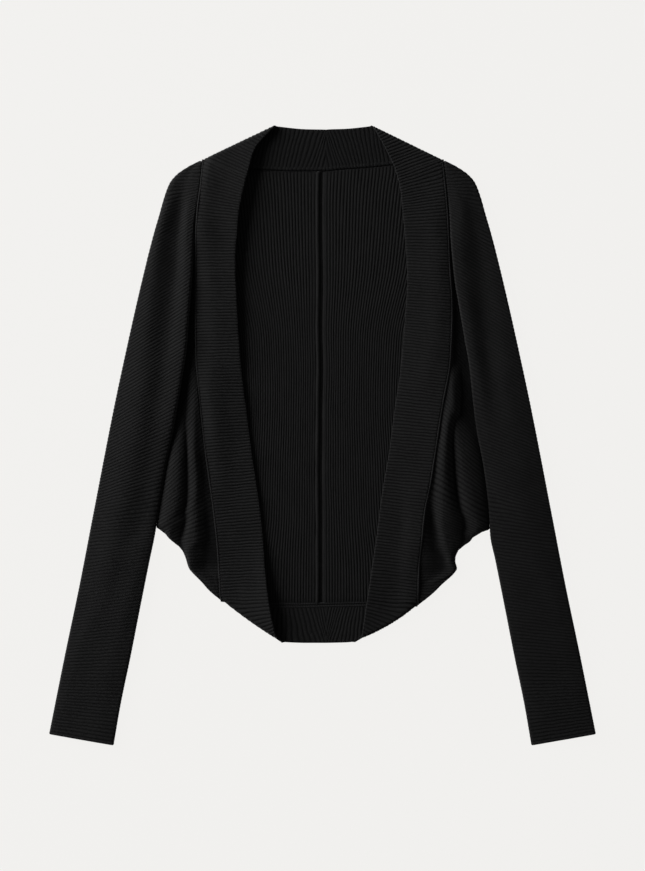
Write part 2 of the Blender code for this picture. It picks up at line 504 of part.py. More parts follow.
def back(name: str, side: int, edge: Curve, free: Curve, seam_profile, material) -> None:
    """Half of the back, with upright ribs in the opening and plain cloth under the fronts."""
    cloth = Cloth(name)
    pitch, neck, hem = Curve(BACK_PITCH), Curve(NECK_SEAM), Curve(HEM_SEAM)
    start = seam_profile[-1][0]

    def x_at(distance: float) -> float:
        return CENTRE_BACK_X + side * distance

    def top_y(x: float, inset: float = 0.0) -> float:
        return neck(x) - SEAM / 2 - inset

    def foot_y(x: float, inset: float = 0.0) -> float:
        return hem(x) + SEAM / 2 + inset

    def run(rib: float, step: float) -> tuple[float, bool]:
        """Y at which a rib ends, going up or down from the closest ribs, and if a seam ends it."""
        y = BACK_WIDEST_Y
        while True:
            x = x_at(start + rib * pitch(y))
            if not foot_y(x) < y < top_y(x):
                return (top_y(x) if step > 0 else foot_y(x)), True
            if side * x > free(y) + BACK_UNDER_BAND:
                return y, False
            y += step

    def rib_line(rib: float) -> list[int]:
        """Corners of one groove or crest, which is level with the plain cloth at its ends."""
        low, high = run(rib, -1.0)[0], run(rib, 1.0)[0]
        points = []
        for v in BACK_RIB_ROWS:
            y = low + (high - low) * v
            height = WALL + (rib_height(rib) if 0.0 < v < 1.0 else 0.0)
            points.append((x_at(start + rib * pitch(y)), y, height))
        return cloth.chain(points)

    profile = []
    for distance, height in seam_profile[:-1]:
        x = x_at(distance)
        profile.append(cloth.chain([(x, y, height) for y in (foot_y(x), top_y(x))]))
    ribs = []
    while True:
        rib = 0.5 * len(ribs)
        if side * x_at(start + rib * pitch(BACK_WIDEST_Y)) > free(BACK_WIDEST_Y) + BACK_UNDER_BAND / 2:
            break
        ribs.append(rib)
    lines = [rib_line(rib) for rib in ribs]
    cloth.sheet([*profile, *lines])

    at_neck = sum(run(rib, 1.0)[1] for rib in ribs) - 1
    at_hem = sum(run(rib, -1.0)[1] for rib in ribs) - 1
    corner_top, corner_foot = lines[at_neck][-1], lines[at_hem][0]
    neck_x, hem_x = cloth.corners[corner_top][0], cloth.corners[corner_foot][0]
    shoulder_y, heel_y = max(edge.at), min(edge.at)

    def outline(inset: float, height: float) -> list[Point3]:
        """Plain outline from the neck seam round by the sleeve and the foot to the hem seam."""
        points = []
        for x in evenly(neck_x, side * (edge(shoulder_y) - inset), SEAM_POINTS):
            points.append((x, top_y(x, inset), height))
        for y in sorted((y for y in edge.at if heel_y < y < shoulder_y - 2.0), reverse=True):
            points.append((side * (edge(y) - inset), y, height))
        for x in evenly(side * (edge(heel_y) - inset), hem_x, SEAM_POINTS):
            points.append((x, foot_y(x, inset), height))
        return points

    rim_points = outline(0.0, WALL)
    rim = [corner_top, *cloth.chain(rim_points[1:-1]), corner_foot]
    inner_rim = [
        *(line[-1] for line in lines[at_neck:-1]), *reversed(lines[-1]),
        *(line[0] for line in reversed(lines[at_hem:-1])),
    ]
    cloth.stitch(inner_rim, rim)
    low_rim = cloth.chain(outline(UNDER_INSET, 0.0))
    seam_x = x_at(SEAM / 2 + UNDER_INSET)
    seam_ends = (foot_y(seam_x, UNDER_INSET), top_y(seam_x, UNDER_INSET))
    low_seam = cloth.chain([(seam_x, y, 0.0) for y in seam_ends])
    cloth.stitch(rim, low_rim)
    cloth.stitch([*(chain[-1] for chain in profile), *(line[-1] for line in lines[:at_neck + 1])],
                 [low_seam[1], low_rim[0]])
    cloth.stitch([*(chain[0] for chain in profile), *(line[0] for line in lines[:at_hem + 1])],
                 [low_seam[0], low_rim[-1]])
    cloth.stitch(profile[0], low_seam)
    cloth.fill([*low_rim, *low_seam])
    cloth.build(material)


def remove_everything() -> None:
    """Empty the scene of its objects."""
    for item in list(bpy.data.objects):
        bpy.data.objects.remove(item, do_unlink=True)


def knit_material(name: str) -> bpy.types.Material:
    """Black rib knit."""
    material = bpy.data.materials.new(name)
    material.use_nodes = True
    shader = material.node_tree.nodes["Principled BSDF"]
    shader.inputs["Base Color"].default_value = BLACK_KNIT
    shader.inputs["Roughness"].default_value = KNIT_ROUGHNESS
    return material


def main() -> None:
    """Build the shrug from its floor layer up."""
    remove_everything()
    sides = (
        ("left", -1, SLEEVE_INNER_LEFT, 2, BODY_FOOT_LEFT, BAND_OUTER_LEFT, BAND_FREE_LEFT,
         BAND_RIBS_LEFT, SIDE_RIBS_LEFT, SIDE_FORM_LEFT, NECK_RIBS_LEFT, HEM_RIBS_LEFT, SEAM_RIDGE),
        ("right", 1, SLEEVE_INNER_RIGHT, 3, BODY_FOOT_RIGHT, BAND_OUTER_RIGHT, BAND_FREE_RIGHT,
         BAND_RIBS_RIGHT, SIDE_RIBS_RIGHT, SIDE_FORM_RIGHT, NECK_RIBS_RIGHT, HEM_RIBS_RIGHT, SEAM_GROOVE),
    )
    for (word, side, inner, inner_column, foot, band, free, band_ribs, side_ribs, side_form,
         neck_ribs, hem_ribs, seam_profile) in sides:
        edge = body_edge(inner, foot)
        panel = knit_material(f"panel_knit_{word}")
        trim = knit_material(f"band_knit_{word}")
        back(f"back_{word}", side, edge, Curve(free), seam_profile, panel)
        end_band(f"neck_band_{word}", neck_ribs, Curve(NECK_SEAM), SEAM, trim)
        end_band(f"hem_band_{word}", hem_ribs, Curve(HEM_SEAM), -SEAM, trim)
        sleeve(f"sleeve_{word}", side, inner, inner_column, panel)
        side_front(f"side_{word}", side, edge, band, side_ribs, side_form, panel)
        front_band(f"front_band_{word}", side, band, free, band_ribs, trim)


main()
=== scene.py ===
"""Looks of the knitted shrug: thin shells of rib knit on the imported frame, its seams and a studio.

The shrug lies flat with its fronts up, its neck at +Y and its underside on Z = 0. Each half is a
back, a batwing sleeve and a side front, and one strip of rib band that folds over at the shoulder
and at the hem. Every piece is a grid whose rows are steps across the ribs and whose columns are
steps along them, worked out as whole arrays in millimetres. Left is -X and right is +X.
"""
from __future__ import annotations

import logging
from collections.abc import Callable
from dataclasses import dataclass
from enum import Enum
from typing import Any

import bpy
import numpy as np
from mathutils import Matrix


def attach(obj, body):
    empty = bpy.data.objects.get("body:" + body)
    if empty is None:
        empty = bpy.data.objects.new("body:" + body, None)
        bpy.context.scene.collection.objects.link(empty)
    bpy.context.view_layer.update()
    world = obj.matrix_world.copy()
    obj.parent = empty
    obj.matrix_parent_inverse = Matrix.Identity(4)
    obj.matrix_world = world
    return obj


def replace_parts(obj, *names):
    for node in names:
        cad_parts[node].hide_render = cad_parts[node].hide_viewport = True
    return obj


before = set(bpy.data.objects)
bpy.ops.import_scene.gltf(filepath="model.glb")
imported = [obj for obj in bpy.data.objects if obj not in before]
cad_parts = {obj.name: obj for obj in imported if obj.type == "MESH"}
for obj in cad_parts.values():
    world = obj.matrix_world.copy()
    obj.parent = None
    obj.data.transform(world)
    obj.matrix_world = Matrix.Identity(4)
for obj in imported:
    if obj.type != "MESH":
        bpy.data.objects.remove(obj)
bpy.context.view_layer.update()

MM = 0.001
TURN = 2 * np.pi
TINY = 1e-9
BODY = "root"
KNIT_UV = "Knit"
# Point attribute of how far the knit's colour is darkened: its inner side, partly its own duller colour and
# partly painted shade, and painted shade in seam creases, along the sleeves' inner folds and in the side
# fronts' fold valleys.
INNER_SIDE_AND_PAINTED_SHADE = "Inside"
PRINCIPLED = "Principled BSDF"
MIX_FIRST, MIX_SECOND, MIX_RESULT = 6, 7, 2      # a Mix node's colour sockets

Array = np.ndarray
Rows = tuple[tuple[float, ...], ...]
Colour = tuple[float, float, float, float]
log = logging.getLogger("shrug")


class Side(Enum):
    """Half of the shrug, by the sign of its x."""

    LEFT = -1
    RIGHT = 1

    @property
    def word(self) -> str:
        """The name of the half in piece names."""
        return self.name.lower()


class Slot(Enum):
    """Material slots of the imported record."""

    PANEL = "panel_knit"
    BAND = "band_knit"


# --------------------------------------------------------------------------------------------------
# Sizes
# --------------------------------------------------------------------------------------------------

@dataclass(frozen=True)
class HalfSizes:
    """Rows of one half. Distances are from the centre line, in mm."""

    side: Side
    sleeve_inner: Rows      # y, distance of the sleeve's inner fold
    sleeve_form: Rows       # rib, height past the outer fold, place and height of an outer
    #                         swell, a trough and an inner swell, height before the inner fold
    foot: Rows              # y, distance of the body's outline below the sleeve
    band_outer: Rows        # y, distance of the front band's seam
    band_free: Rows         # y, distance of the front band's free edge
    front_ribs: Rows        # strip rib, y at the seam, y at the free edge
    neck_seam_x: Rows       # strip rib, x where it meets the neck seam
    neck_edge: Rows         # strip rib, x and y on the upper edge of the neck band
    hem_seam_x: Rows        # strip rib, x where it meets the hem seam
    hem_edge: Rows          # strip rib, x and y on the lower edge of the hem band
    shoulder_fold: Rows     # x, y of the ends of the band's fold over the shoulder
    hem_fold: Rows          # x, y of the ends of the band's fold at the hem
    hem_fold_bow: float     # how far the hem fold bows outwards
    seam_lift: Rows         # y, how far the front band's seam lies above its usual height
    band_form: Rows         # strip rib, place and height of two swells, height of the free edge
    side_ribs: Rows         # rib, y at the outer side, y at the band seam
    side_form: Rows         # rib, place and height of outer fold, valley, inner fold, hollow
    centre_profile: Rows    # distance from the centre back line, height, whether it is stitched
    centre_ribs: tuple[float, float]    # rib counts at its first and its last row


SLEEVE_OUTER: Rows = (
    (302.5, 135.0), (296.0, 147.5), (287.0, 160.5), (278.0, 168.0), (261.0, 174.5), (245.0, 179.0),
    (219.0, 186.5), (166.0, 199.7), (113.0, 211.8), (34.0, 228.8), (-85.0, 252.0), (-164.0, 267.3),
    (-243.0, 283.8), (-328.5, 300.9),
)
SLEEVE_INNER_LOWER: Rows = (
    (-110.0, 184.6), (-137.5, 190.3), (-190.0, 200.8), (-243.0, 211.2), (-296.0, 222.2), (-341.0, 230.0),
)
# Rib, y at the outer fold, y at the left inner fold, y at the right one
SLEEVE_RIBS: Rows = (
    (0, 302.4, 301.9, 301.9), (3, 291.0, 292.5, 291.5), (6, 280.5, 280.5, 278.5),
    (9, 267.5, 273.0, 270.5), (12, 252.0, 264.0, 262.0), (18, 225.0, 249.5, 247.5),
    (25, 192.5, 226.5, 221.0), (35, 148.5, 189.0, 181.5), (48, 93.5, 135.5, 131.0),
    (61, 38.5, 81.5, 75.0), (72, -5.5, 34.0, 23.0), (84, -49.5, -20.0, -24.0), (94, -82.5, -67.0, -62.5),
    (99, -99.0, -92.5, -87.0), (109, -137.5, -126.5, -126.5), (121, -181.5, -169.5, -169.5),
    (134, -225.5, -218.0, -218.0), (147, -269.5, -269.5, -269.5), (159, -308.0, -316.0, -317.0),
    (165, -328.5, -341.0, -341.0),
)
# x, y of the seams that join the back to the neck band and to the hem band
NECK_SEAM: Rows = (
    (-130.5, 304.0), (-106.0, 298.0), (-84.0, 293.5), (-61.5, 292.0), (-32.0, 291.0), (2.0, 291.0),
    (17.5, 292.5), (61.5, 296.0), (107.5, 301.5), (131.5, 304.0),
)
HEM_SEAM: Rows = (
    (-112.0, -183.0), (-85.0, -185.5), (-28.0, -187.0), (14.5, -186.0), (56.5, -185.5), (80.0, -187.0),
    (105.0, -188.5),
)
NECK_MIDDLE, HEM_MIDDLE = 291.0, -187.0     # y of those seams about the centre line
# y, pitch of the back's ribs
BACK_PITCH: Rows = (
    (291.0, 3.85), (269.5, 3.68), (187.0, 3.3), (104.5, 2.66), (38.5, 2.58), (-33.0, 2.7), (-88.0, 2.8),
    (-143.0, 3.08), (-185.0, 3.15),
)

LEFT = HalfSizes(
    side=Side.LEFT,
    sleeve_inner=(
        (302.0, 132.0), (280.5, 134.4), (249.5, 138.8), (226.5, 140.8), (192.5, 142.3), (159.5, 144.5),
        (132.0, 146.8), (99.0, 149.0), (69.3, 153.4), (36.3, 159.0), (3.3, 164.6), (-27.5, 171.2),
        (-60.5, 176.6), (-88.0, 181.0),
    ) + SLEEVE_INNER_LOWER,
    sleeve_form=(
        (0, 5.0, 0.2, 5.1, 0.4, 5.3, 0.7, 5.6, 5.8), (4, 5.4, 0.2, 6.2, 0.44, 6.1, 0.72, 7.1, 7.3),
        (9, 6.2, 0.16, 7.6, 0.5, 6.6, 0.76, 8.1, 8.6), (14, 6.9, 0.15, 8.9, 0.54, 5.8, 0.82, 9.1, 9.4),
        (18, 7.2, 0.16, 9.5, 0.57, 5.5, 0.83, 9.6, 9.6), (22, 7.2, 0.17, 9.7, 0.6, 5.4, 0.85, 10.0, 9.6),
        (27, 7.0, 0.2, 9.7, 0.63, 5.4, 0.87, 10.2, 9.8),
        (31, 6.7, 0.24, 9.7, 0.65, 5.6, 0.89, 10.4, 10.0),
        (40, 6.2, 0.29, 9.7, 0.66, 6.1, 0.92, 10.5, 10.4),
        (48, 5.5, 0.33, 9.7, 0.66, 6.8, 0.94, 10.8, 10.7),
        (54, 5.3, 0.37, 9.9, 0.67, 7.2, 0.95, 10.8, 10.7),
        (61, 5.3, 0.42, 10.2, 0.68, 8.0, 0.95, 10.6, 10.4),
        (72, 5.2, 0.44, 10.2, 0.7, 8.3, 0.95, 10.0, 9.7),
        (78, 5.2, 0.45, 10.0, 0.74, 8.2, 0.93, 9.0, 8.2), (84, 5.2, 0.45, 9.7, 0.78, 7.8, 0.9, 7.9, 6.8),
        (100, 5.3, 0.43, 9.4, 0.79, 7.0, 0.89, 7.1, 5.4),
        (109, 5.3, 0.43, 9.1, 0.62, 8.5, 0.85, 8.3, 6.9),
        (121, 5.3, 0.44, 8.5, 0.58, 8.3, 0.78, 8.5, 6.6),
        (134, 5.5, 0.26, 7.6, 0.5, 7.7, 0.74, 8.0, 6.4),
        (147, 5.7, 0.18, 7.0, 0.42, 7.0, 0.68, 7.3, 6.0),
        (165, 5.6, 0.15, 6.3, 0.42, 6.5, 0.68, 6.7, 5.6),
    ),
    foot=(
        (-100.5, 182.7), (-106.0, 175.0), (-113.3, 168.9), (-119.5, 161.5), (-124.3, 155.7),
        (-133.1, 151.3), (-146.3, 146.9), (-151.8, 142.5), (-160.6, 133.7), (-170.5, 124.9),
        (-181.5, 112.0),
    ),
    band_outer=(
        (340.5, 55.5), (322.5, 93.5), (306.0, 127.5), (301.0, 131.0), (276.0, 133.5), (249.5, 137.0),
        (216.5, 139.0), (148.5, 139.5), (93.5, 139.0), (49.5, 135.8), (-5.5, 130.0), (-50.5, 124.0),
        (-87.0, 119.0), (-121.0, 115.5), (-150.5, 113.5), (-179.0, 112.0), (-183.0, 109.0),
    ),
    band_free=(
        (341.0, 52.3), (313.5, 75.4), (291.5, 82.0), (269.5, 87.5), (247.5, 91.9), (225.5, 94.0),
        (192.5, 96.3), (159.5, 95.2), (115.5, 93.0), (71.5, 89.7), (27.5, 84.2), (-16.5, 78.7),
        (-60.5, 72.0), (-104.5, 66.6), (-148.5, 63.3), (-192.5, 57.8), (-225.5, 50.5),
    ),
    front_ribs=(
        (15, 337.5, 340.6), (21, 327.0, 323.5), (27, 316.0, 303.5), (33, 304.5, 284.0),
        (40, 276.0, 264.0), (47, 249.5, 244.0), (56, 216.5, 215.5), (76, 148.5, 148.5), (92, 93.5, 94.5),
        (105, 49.5, 50.5), (121, -5.5, -2.0), (134, -50.5, -46.0), (145, -87.0, -82.5),
        (155, -121.0, -118.5), (164, -150.5, -148.5), (173, -181.5, -180.5), (179, -203.5, -203.0),
        (184, -220.0, -221.0),
    ),
    neck_seam_x=(
        (0, 4.3), (3, -9.5), (8, -32.0), (15, -61.5), (19, -79.0), (24, -98.5), (29, -116.0),
        (33, -131.0),
    ),
    neck_edge=((0, 4.4, 294.0), (3, 4.4, 336.8), (8, -20.0, 337.5), (15, -52.3, 340.8)),
    hem_seam_x=((173, -111.0), (179, -76.0), (184, -49.0), (189, -28.0), (194, -5.5), (197, 4.3)),
    hem_edge=(
        (184, -50.8, -224.4), (185.5, -43.0, -227.5), (189, -18.5, -228.5), (194, 4.4, -228.5),
        (197, 4.4, -190.5),
    ),
    shoulder_fold=((-55.5, 340.5), (-127.5, 306.0)),
    hem_fold=((-109.0, -183.0), (-51.0, -224.0)),
    hem_fold_bow=1.2,
    seam_lift=(
        (303, 0.4), (297, 1.6), (285, 3.5), (270, 4.6), (250, 5.0), (225, 4.4), (200, 2.7), (175, 1.2),
        (155, 0.7), (126, 0.2), (100, 0.2), (60, 0.4), (30, 0.4), (0, 0.3), (-40, 0.0), (-183, 0.0),
    ),
    band_form=(
        (0, 0.3, 0.0, 0.7, 0.0, 0.0), (15, 0.3, 0.4, 0.7, 1.0, 1.4), (19, 0.2, 1.0, 0.6, 2.0, 3.2),
        (24, 0.2, 2.2, 0.6, 3.3, 5.0), (30, 0.2, 3.8, 0.6, 4.3, 5.8), (36, 0.15, 5.1, 0.5, 4.9, 6.2),
        (42, 0.15, 5.7, 0.52, 5.0, 6.2), (48, 0.16, 5.8, 0.55, 4.9, 5.8), (56, 0.22, 5.0, 0.6, 4.3, 5.2),
        (63, 0.34, 4.0, 0.64, 3.6, 4.3), (73, 0.42, 3.7, 0.72, 3.5, 3.6),
        (83, 0.48, 3.3, 0.76, 3.1, 2.9), (92, 0.5, 2.5, 0.75, 2.3, 2.1), (102, 0.25, 2.7, 0.7, 1.5, 0.7),
        (112, 0.27, 3.4, 0.65, 1.2, 0.3), (121, 0.24, 2.2, 0.7, 0.3, 0.0),
        (134, 0.22, 0.7, 0.6, -0.2, 0.0), (148, 0.2, -0.2, 0.6, -0.3, 0.0),
        (154, 0.2, -0.2, 0.7, -0.1, 0.5), (160, 0.22, -0.1, 0.7, 0.4, 1.8),
        (167, 0.25, 0.0, 0.66, 1.5, 4.2), (176, 0.25, 0.8, 0.62, 3.1, 7.0),
        (184, 0.3, 0.8, 0.7, 2.5, 4.4), (197, 0.3, 0.0, 0.7, 0.0, 0.0),
    ),
    side_ribs=(
        (0, 197.0, 204.5), (8, 164.0, 172.0), (14, 139.0, 147.5), (17, 126.5, 135.5), (25, 93.5, 106.5),
        (31, 66.0, 84.5), (37, 35.0, 60.5), (43, 3.5, 34.0), (47, -20.0, 16.5), (52, -45.0, -5.5),
        (57, -69.0, -30.5), (63, -93.0, -58.0), (66, -103.5, -71.5), (70, -112.0, -93.0),
        (73, -120.0, -110.0), (76, -125.5, -124.5), (79, -136.5, -136.5), (82, -146.5, -146.5),
        (86, -159.0, -159.5), (91, -177.5, -176.5),
    ),
    side_form=(
        (0, 0.2, 3.9, 0.42, 3.8, 0.7, 3.8, 0.88, 3.8), (25, 0.2, 3.8, 0.42, 3.7, 0.7, 3.7, 0.88, 3.7),
        (37, 0.22, 3.9, 0.46, 3.7, 0.82, 5.6, 0.94, 5.2),
        (43, 0.24, 4.6, 0.46, 3.8, 0.8, 7.4, 0.95, 6.4), (47, 0.3, 6.6, 0.54, 3.7, 0.78, 8.0, 0.95, 6.0),
        (52, 0.32, 8.2, 0.57, 3.5, 0.75, 8.4, 0.93, 5.1),
        (57, 0.33, 9.0, 0.57, 3.5, 0.76, 8.5, 0.91, 4.0),
        (63, 0.3, 9.2, 0.55, 3.5, 0.72, 8.7, 0.91, 3.9), (66, 0.2, 8.6, 0.48, 3.6, 0.67, 8.9, 0.91, 3.8),
        (70, 0.05, 6.4, 0.33, 3.5, 0.58, 9.2, 0.88, 3.4),
        (73, 0.03, 4.8, 0.12, 4.0, 0.46, 9.2, 0.85, 3.3),
        (76, 0.02, 5.2, 0.05, 5.0, 0.22, 8.8, 0.78, 3.3),
        (79, 0.01, 5.6, 0.03, 5.6, 0.12, 8.4, 0.7, 3.3), (82, 0.01, 5.4, 0.02, 5.4, 0.07, 7.4, 0.6, 3.5),
        (86, 0.05, 4.4, 0.18, 4.4, 0.5, 5.2, 0.82, 4.6), (91, 0.16, 4.3, 0.38, 4.4, 0.6, 4.5, 0.8, 4.4),
    ),
    centre_profile=(
        (-0.1, 1.5, 0), (0.7, 1.5, 0), (1.3, 1.6, 0), (1.8, 1.95, 0), (2.4, 2.3, 0), (3.1, 2.6, 1),
        (3.8, 2.8, 1), (4.5, 2.95, 1), (5.1, 2.95, 1), (5.7, 2.8, 1), (6.2, 2.5, 1), (6.6, 2.25, 1),
        (7.0, 2.0, 0),
    ),
    centre_ribs=(-1.5, -0.1),
)

RIGHT = HalfSizes(
    side=Side.RIGHT,
    sleeve_inner=(
        (302.0, 132.8), (280.5, 135.4), (249.5, 139.2), (214.5, 141.0), (170.5, 145.3), (137.5, 151.0),
        (104.5, 156.7), (71.5, 162.2), (38.5, 165.5), (5.5, 169.8), (-27.5, 176.0), (-60.5, 180.9),
        (-88.0, 183.4),
    ) + SLEEVE_INNER_LOWER,
    sleeve_form=(
        (0, 5.0, 0.2, 5.2, 0.4, 5.3, 0.7, 5.4, 4.9), (9, 5.0, 0.2, 5.3, 0.4, 5.9, 0.66, 6.3, 5.0),
        (14, 5.0, 0.2, 5.1, 0.4, 6.0, 0.64, 7.6, 5.4), (22, 5.0, 0.15, 5.0, 0.34, 4.8, 0.78, 8.4, 6.6),
        (31, 5.3, 0.16, 5.5, 0.4, 4.7, 0.84, 8.7, 7.8), (44, 5.5, 0.2, 6.2, 0.53, 4.8, 0.86, 8.5, 7.5),
        (52, 5.5, 0.3, 6.8, 0.6, 5.2, 0.87, 8.2, 7.1), (60, 5.7, 0.38, 7.2, 0.64, 5.6, 0.87, 7.8, 6.5),
        (68, 5.9, 0.39, 7.6, 0.66, 6.7, 0.84, 7.3, 5.7), (76, 6.1, 0.4, 8.0, 0.66, 7.5, 0.82, 7.0, 5.2),
        (92, 6.0, 0.48, 8.6, 0.7, 8.1, 0.85, 7.0, 5.2), (109, 6.6, 0.35, 8.2, 0.55, 7.7, 0.78, 6.9, 5.0),
        (121, 6.3, 0.25, 7.5, 0.5, 7.3, 0.78, 6.9, 5.2), (134, 6.2, 0.2, 7.0, 0.5, 7.0, 0.8, 6.8, 5.4),
        (165, 6.0, 0.2, 6.4, 0.5, 6.6, 0.8, 6.5, 5.4),
    ),
    foot=(
        (-102.5, 183.9), (-107.0, 174.0), (-111.0, 166.7), (-116.6, 162.3), (-122.1, 154.5),
        (-128.0, 148.5), (-137.5, 146.0), (-146.3, 148.0), (-151.8, 144.7), (-163.9, 131.5),
        (-172.7, 122.7), (-187.5, 104.5),
    ),
    band_outer=(
        (340.5, 57.0), (322.3, 92.0), (306.0, 128.0), (301.0, 131.8), (275.0, 134.8), (236.5, 138.0),
        (198.0, 139.3), (137.5, 142.5), (82.5, 140.3), (30.8, 131.5), (-19.8, 123.8), (-50.6, 119.0),
        (-81.4, 112.8), (-112.2, 109.5), (-143.0, 106.2), (-183.0, 104.8), (-188.0, 103.0),
    ),
    band_free=(
        (341.0, 55.6), (313.5, 71.0), (291.5, 80.9), (269.5, 86.4), (247.5, 88.6), (225.5, 90.8),
        (170.5, 94.0), (137.5, 91.9), (71.5, 86.4), (27.5, 79.8), (-16.5, 74.3), (-60.5, 66.6),
        (-104.5, 61.0), (-148.5, 54.5), (-192.5, 47.9), (-225.5, 43.0),
    ),
    front_ribs=(
        (15, 337.5, 340.6), (21, 327.0, 324.0), (27, 315.5, 305.0), (33, 304.0, 286.5),
        (40, 275.0, 265.0), (47, 249.5, 245.0), (56, 214.5, 215.5), (76, 145.0, 149.0), (92, 91.5, 98.5),
        (105, 48.5, 55.0), (121, -5.5, -1.0), (134, -49.5, -45.0), (145, -89.0, -82.0),
        (155, -123.0, -116.5), (164, -154.0, -148.0), (173, -185.0, -180.5), (179, -204.0, -201.0),
        (184, -218.5, -221.0),
    ),
    neck_seam_x=(
        (0, 4.1), (3, 17.5), (9, 39.0), (15, 61.5), (19, 79.0), (24, 99.0), (29, 116.5), (33, 131.5),
    ),
    neck_edge=((0, 4.2, 294.0), (3, 4.2, 336.8), (9, 27.5, 338.0), (15, 55.0, 340.9)),
    hem_seam_x=((173, 105.0), (179, 72.0), (184, 46.0), (188, 33.5), (194, 14.5), (197, 4.1)),
    hem_edge=(
        (184, 43.2, -223.8), (186, 34.0, -227.2), (188, 25.0, -228.0), (194, 4.2, -228.5),
        (197, 4.2, -190.0),
    ),
    shoulder_fold=((57.0, 340.5), (128.0, 306.0)),
    hem_fold=((103.0, -188.0), (43.5, -223.5)),
    hem_fold_bow=3.0,
    seam_lift=(
        (300, 0.0), (269, 0.3), (225, 0.5), (192, 1.2), (126, 1.5), (93, 2.6), (60, 3.5), (27, 3.6),
        (-5, 3.3), (-38, 3.1), (-71, 2.9), (-104, 2.7), (-137, 2.0), (-170, 0.8), (-188, 0.3),
    ),
    band_form=(
        (0, 0.3, 0.0, 0.7, 0.0, 0.0), (15, 0.3, 0.3, 0.7, 0.6, 1.2), (24, 0.3, 0.2, 0.7, 0.6, 1.4),
        (36, 0.25, 0.2, 0.6, 0.2, 0.3), (48, 0.28, 1.2, 0.6, 0.5, 0.1), (54, 0.28, 1.7, 0.6, 0.8, 0.0),
        (65, 0.25, 2.6, 0.62, 1.2, 0.0), (83, 0.28, 2.5, 0.65, 1.1, 0.0), (92, 0.3, 3.8, 0.66, 1.9, 0.0),
        (101, 0.34, 3.4, 0.7, 1.6, 0.0), (111, 0.33, 2.6, 0.7, 1.3, -0.1),
        (121, 0.33, 2.0, 0.72, 0.9, -0.1), (131, 0.32, 1.9, 0.72, 0.6, -0.1),
        (141, 0.26, 1.9, 0.62, 0.1, 0.0), (150, 0.2, 2.3, 0.52, 0.0, 0.2),
        (160, 0.18, 1.7, 0.48, 0.1, 1.0), (170, 0.16, 1.1, 0.42, 0.1, 2.0),
        (176, 0.2, 0.8, 0.45, 0.3, 2.3), (184, 0.3, 0.3, 0.7, 0.5, 0.9), (197, 0.3, 0.0, 0.7, 0.0, 0.0),
    ),
    side_ribs=(
        (-6, 194.0, 201.5), (2, 161.5, 170.0), (8, 137.5, 146.5), (16, 104.5, 117.5), (22, 71.5, 93.5),
        (29, 38.5, 68.0), (36, 5.5, 42.0), (43, -27.5, 12.0), (49, -57.0, -16.0), (54, -80.5, -44.0),
        (58, -101.5, -68.0), (63, -108.5, -84.5), (68, -116.5, -101.0), (71, -122.0, -116.5),
        (74, -128.5, -127.5), (77, -137.5, -137.5), (79, -144.0, -144.0), (82, -152.0, -153.0),
        (86, -164.5, -166.0), (91, -182.5, -181.5),
    ),
    side_form=(
        (-6, 0.2, 3.5, 0.45, 3.8, 0.65, 4.1, 0.84, 4.6), (22, 0.2, 3.5, 0.45, 3.7, 0.7, 4.0, 0.86, 4.6),
        (29, 0.24, 3.5, 0.46, 3.7, 0.84, 8.4, 0.985, 7.7),
        (36, 0.42, 4.6, 0.52, 4.8, 0.75, 10.4, 0.985, 7.8),
        (40, 0.58, 7.4, 0.67, 6.6, 0.82, 10.7, 0.985, 7.7),
        (43, 0.54, 8.4, 0.69, 5.2, 0.85, 10.8, 0.985, 7.5),
        (49, 0.43, 9.0, 0.65, 3.7, 0.84, 10.9, 0.985, 7.3),
        (54, 0.36, 9.2, 0.57, 3.4, 0.8, 10.8, 0.975, 6.8),
        (58, 0.22, 8.4, 0.45, 3.4, 0.75, 10.2, 0.94, 5.8),
        (63, 0.05, 7.0, 0.24, 3.5, 0.66, 9.9, 0.88, 4.6),
        (68, 0.02, 4.6, 0.12, 3.7, 0.55, 9.3, 0.79, 3.7), (71, 0.02, 5.0, 0.05, 4.8, 0.4, 8.2, 0.7, 3.5),
        (74, 0.02, 5.4, 0.04, 5.2, 0.23, 7.4, 0.55, 3.4),
        (77, 0.02, 5.4, 0.04, 5.4, 0.12, 6.6, 0.38, 3.5),
        (82, 0.02, 5.0, 0.04, 5.0, 0.08, 5.7, 0.45, 3.8), (86, 0.12, 4.4, 0.3, 4.4, 0.5, 4.6, 0.76, 4.4),
        (91, 0.16, 4.3, 0.38, 4.4, 0.6, 4.4, 0.8, 4.4),
    ),
    centre_profile=((0.0, 1.2, 0), (2.2, 1.5, 0)),
    centre_ribs=(-0.5, -0.25),
)


# --------------------------------------------------------------------------------------------------
# Curves and formulas
# --------------------------------------------------------------------------------------------------

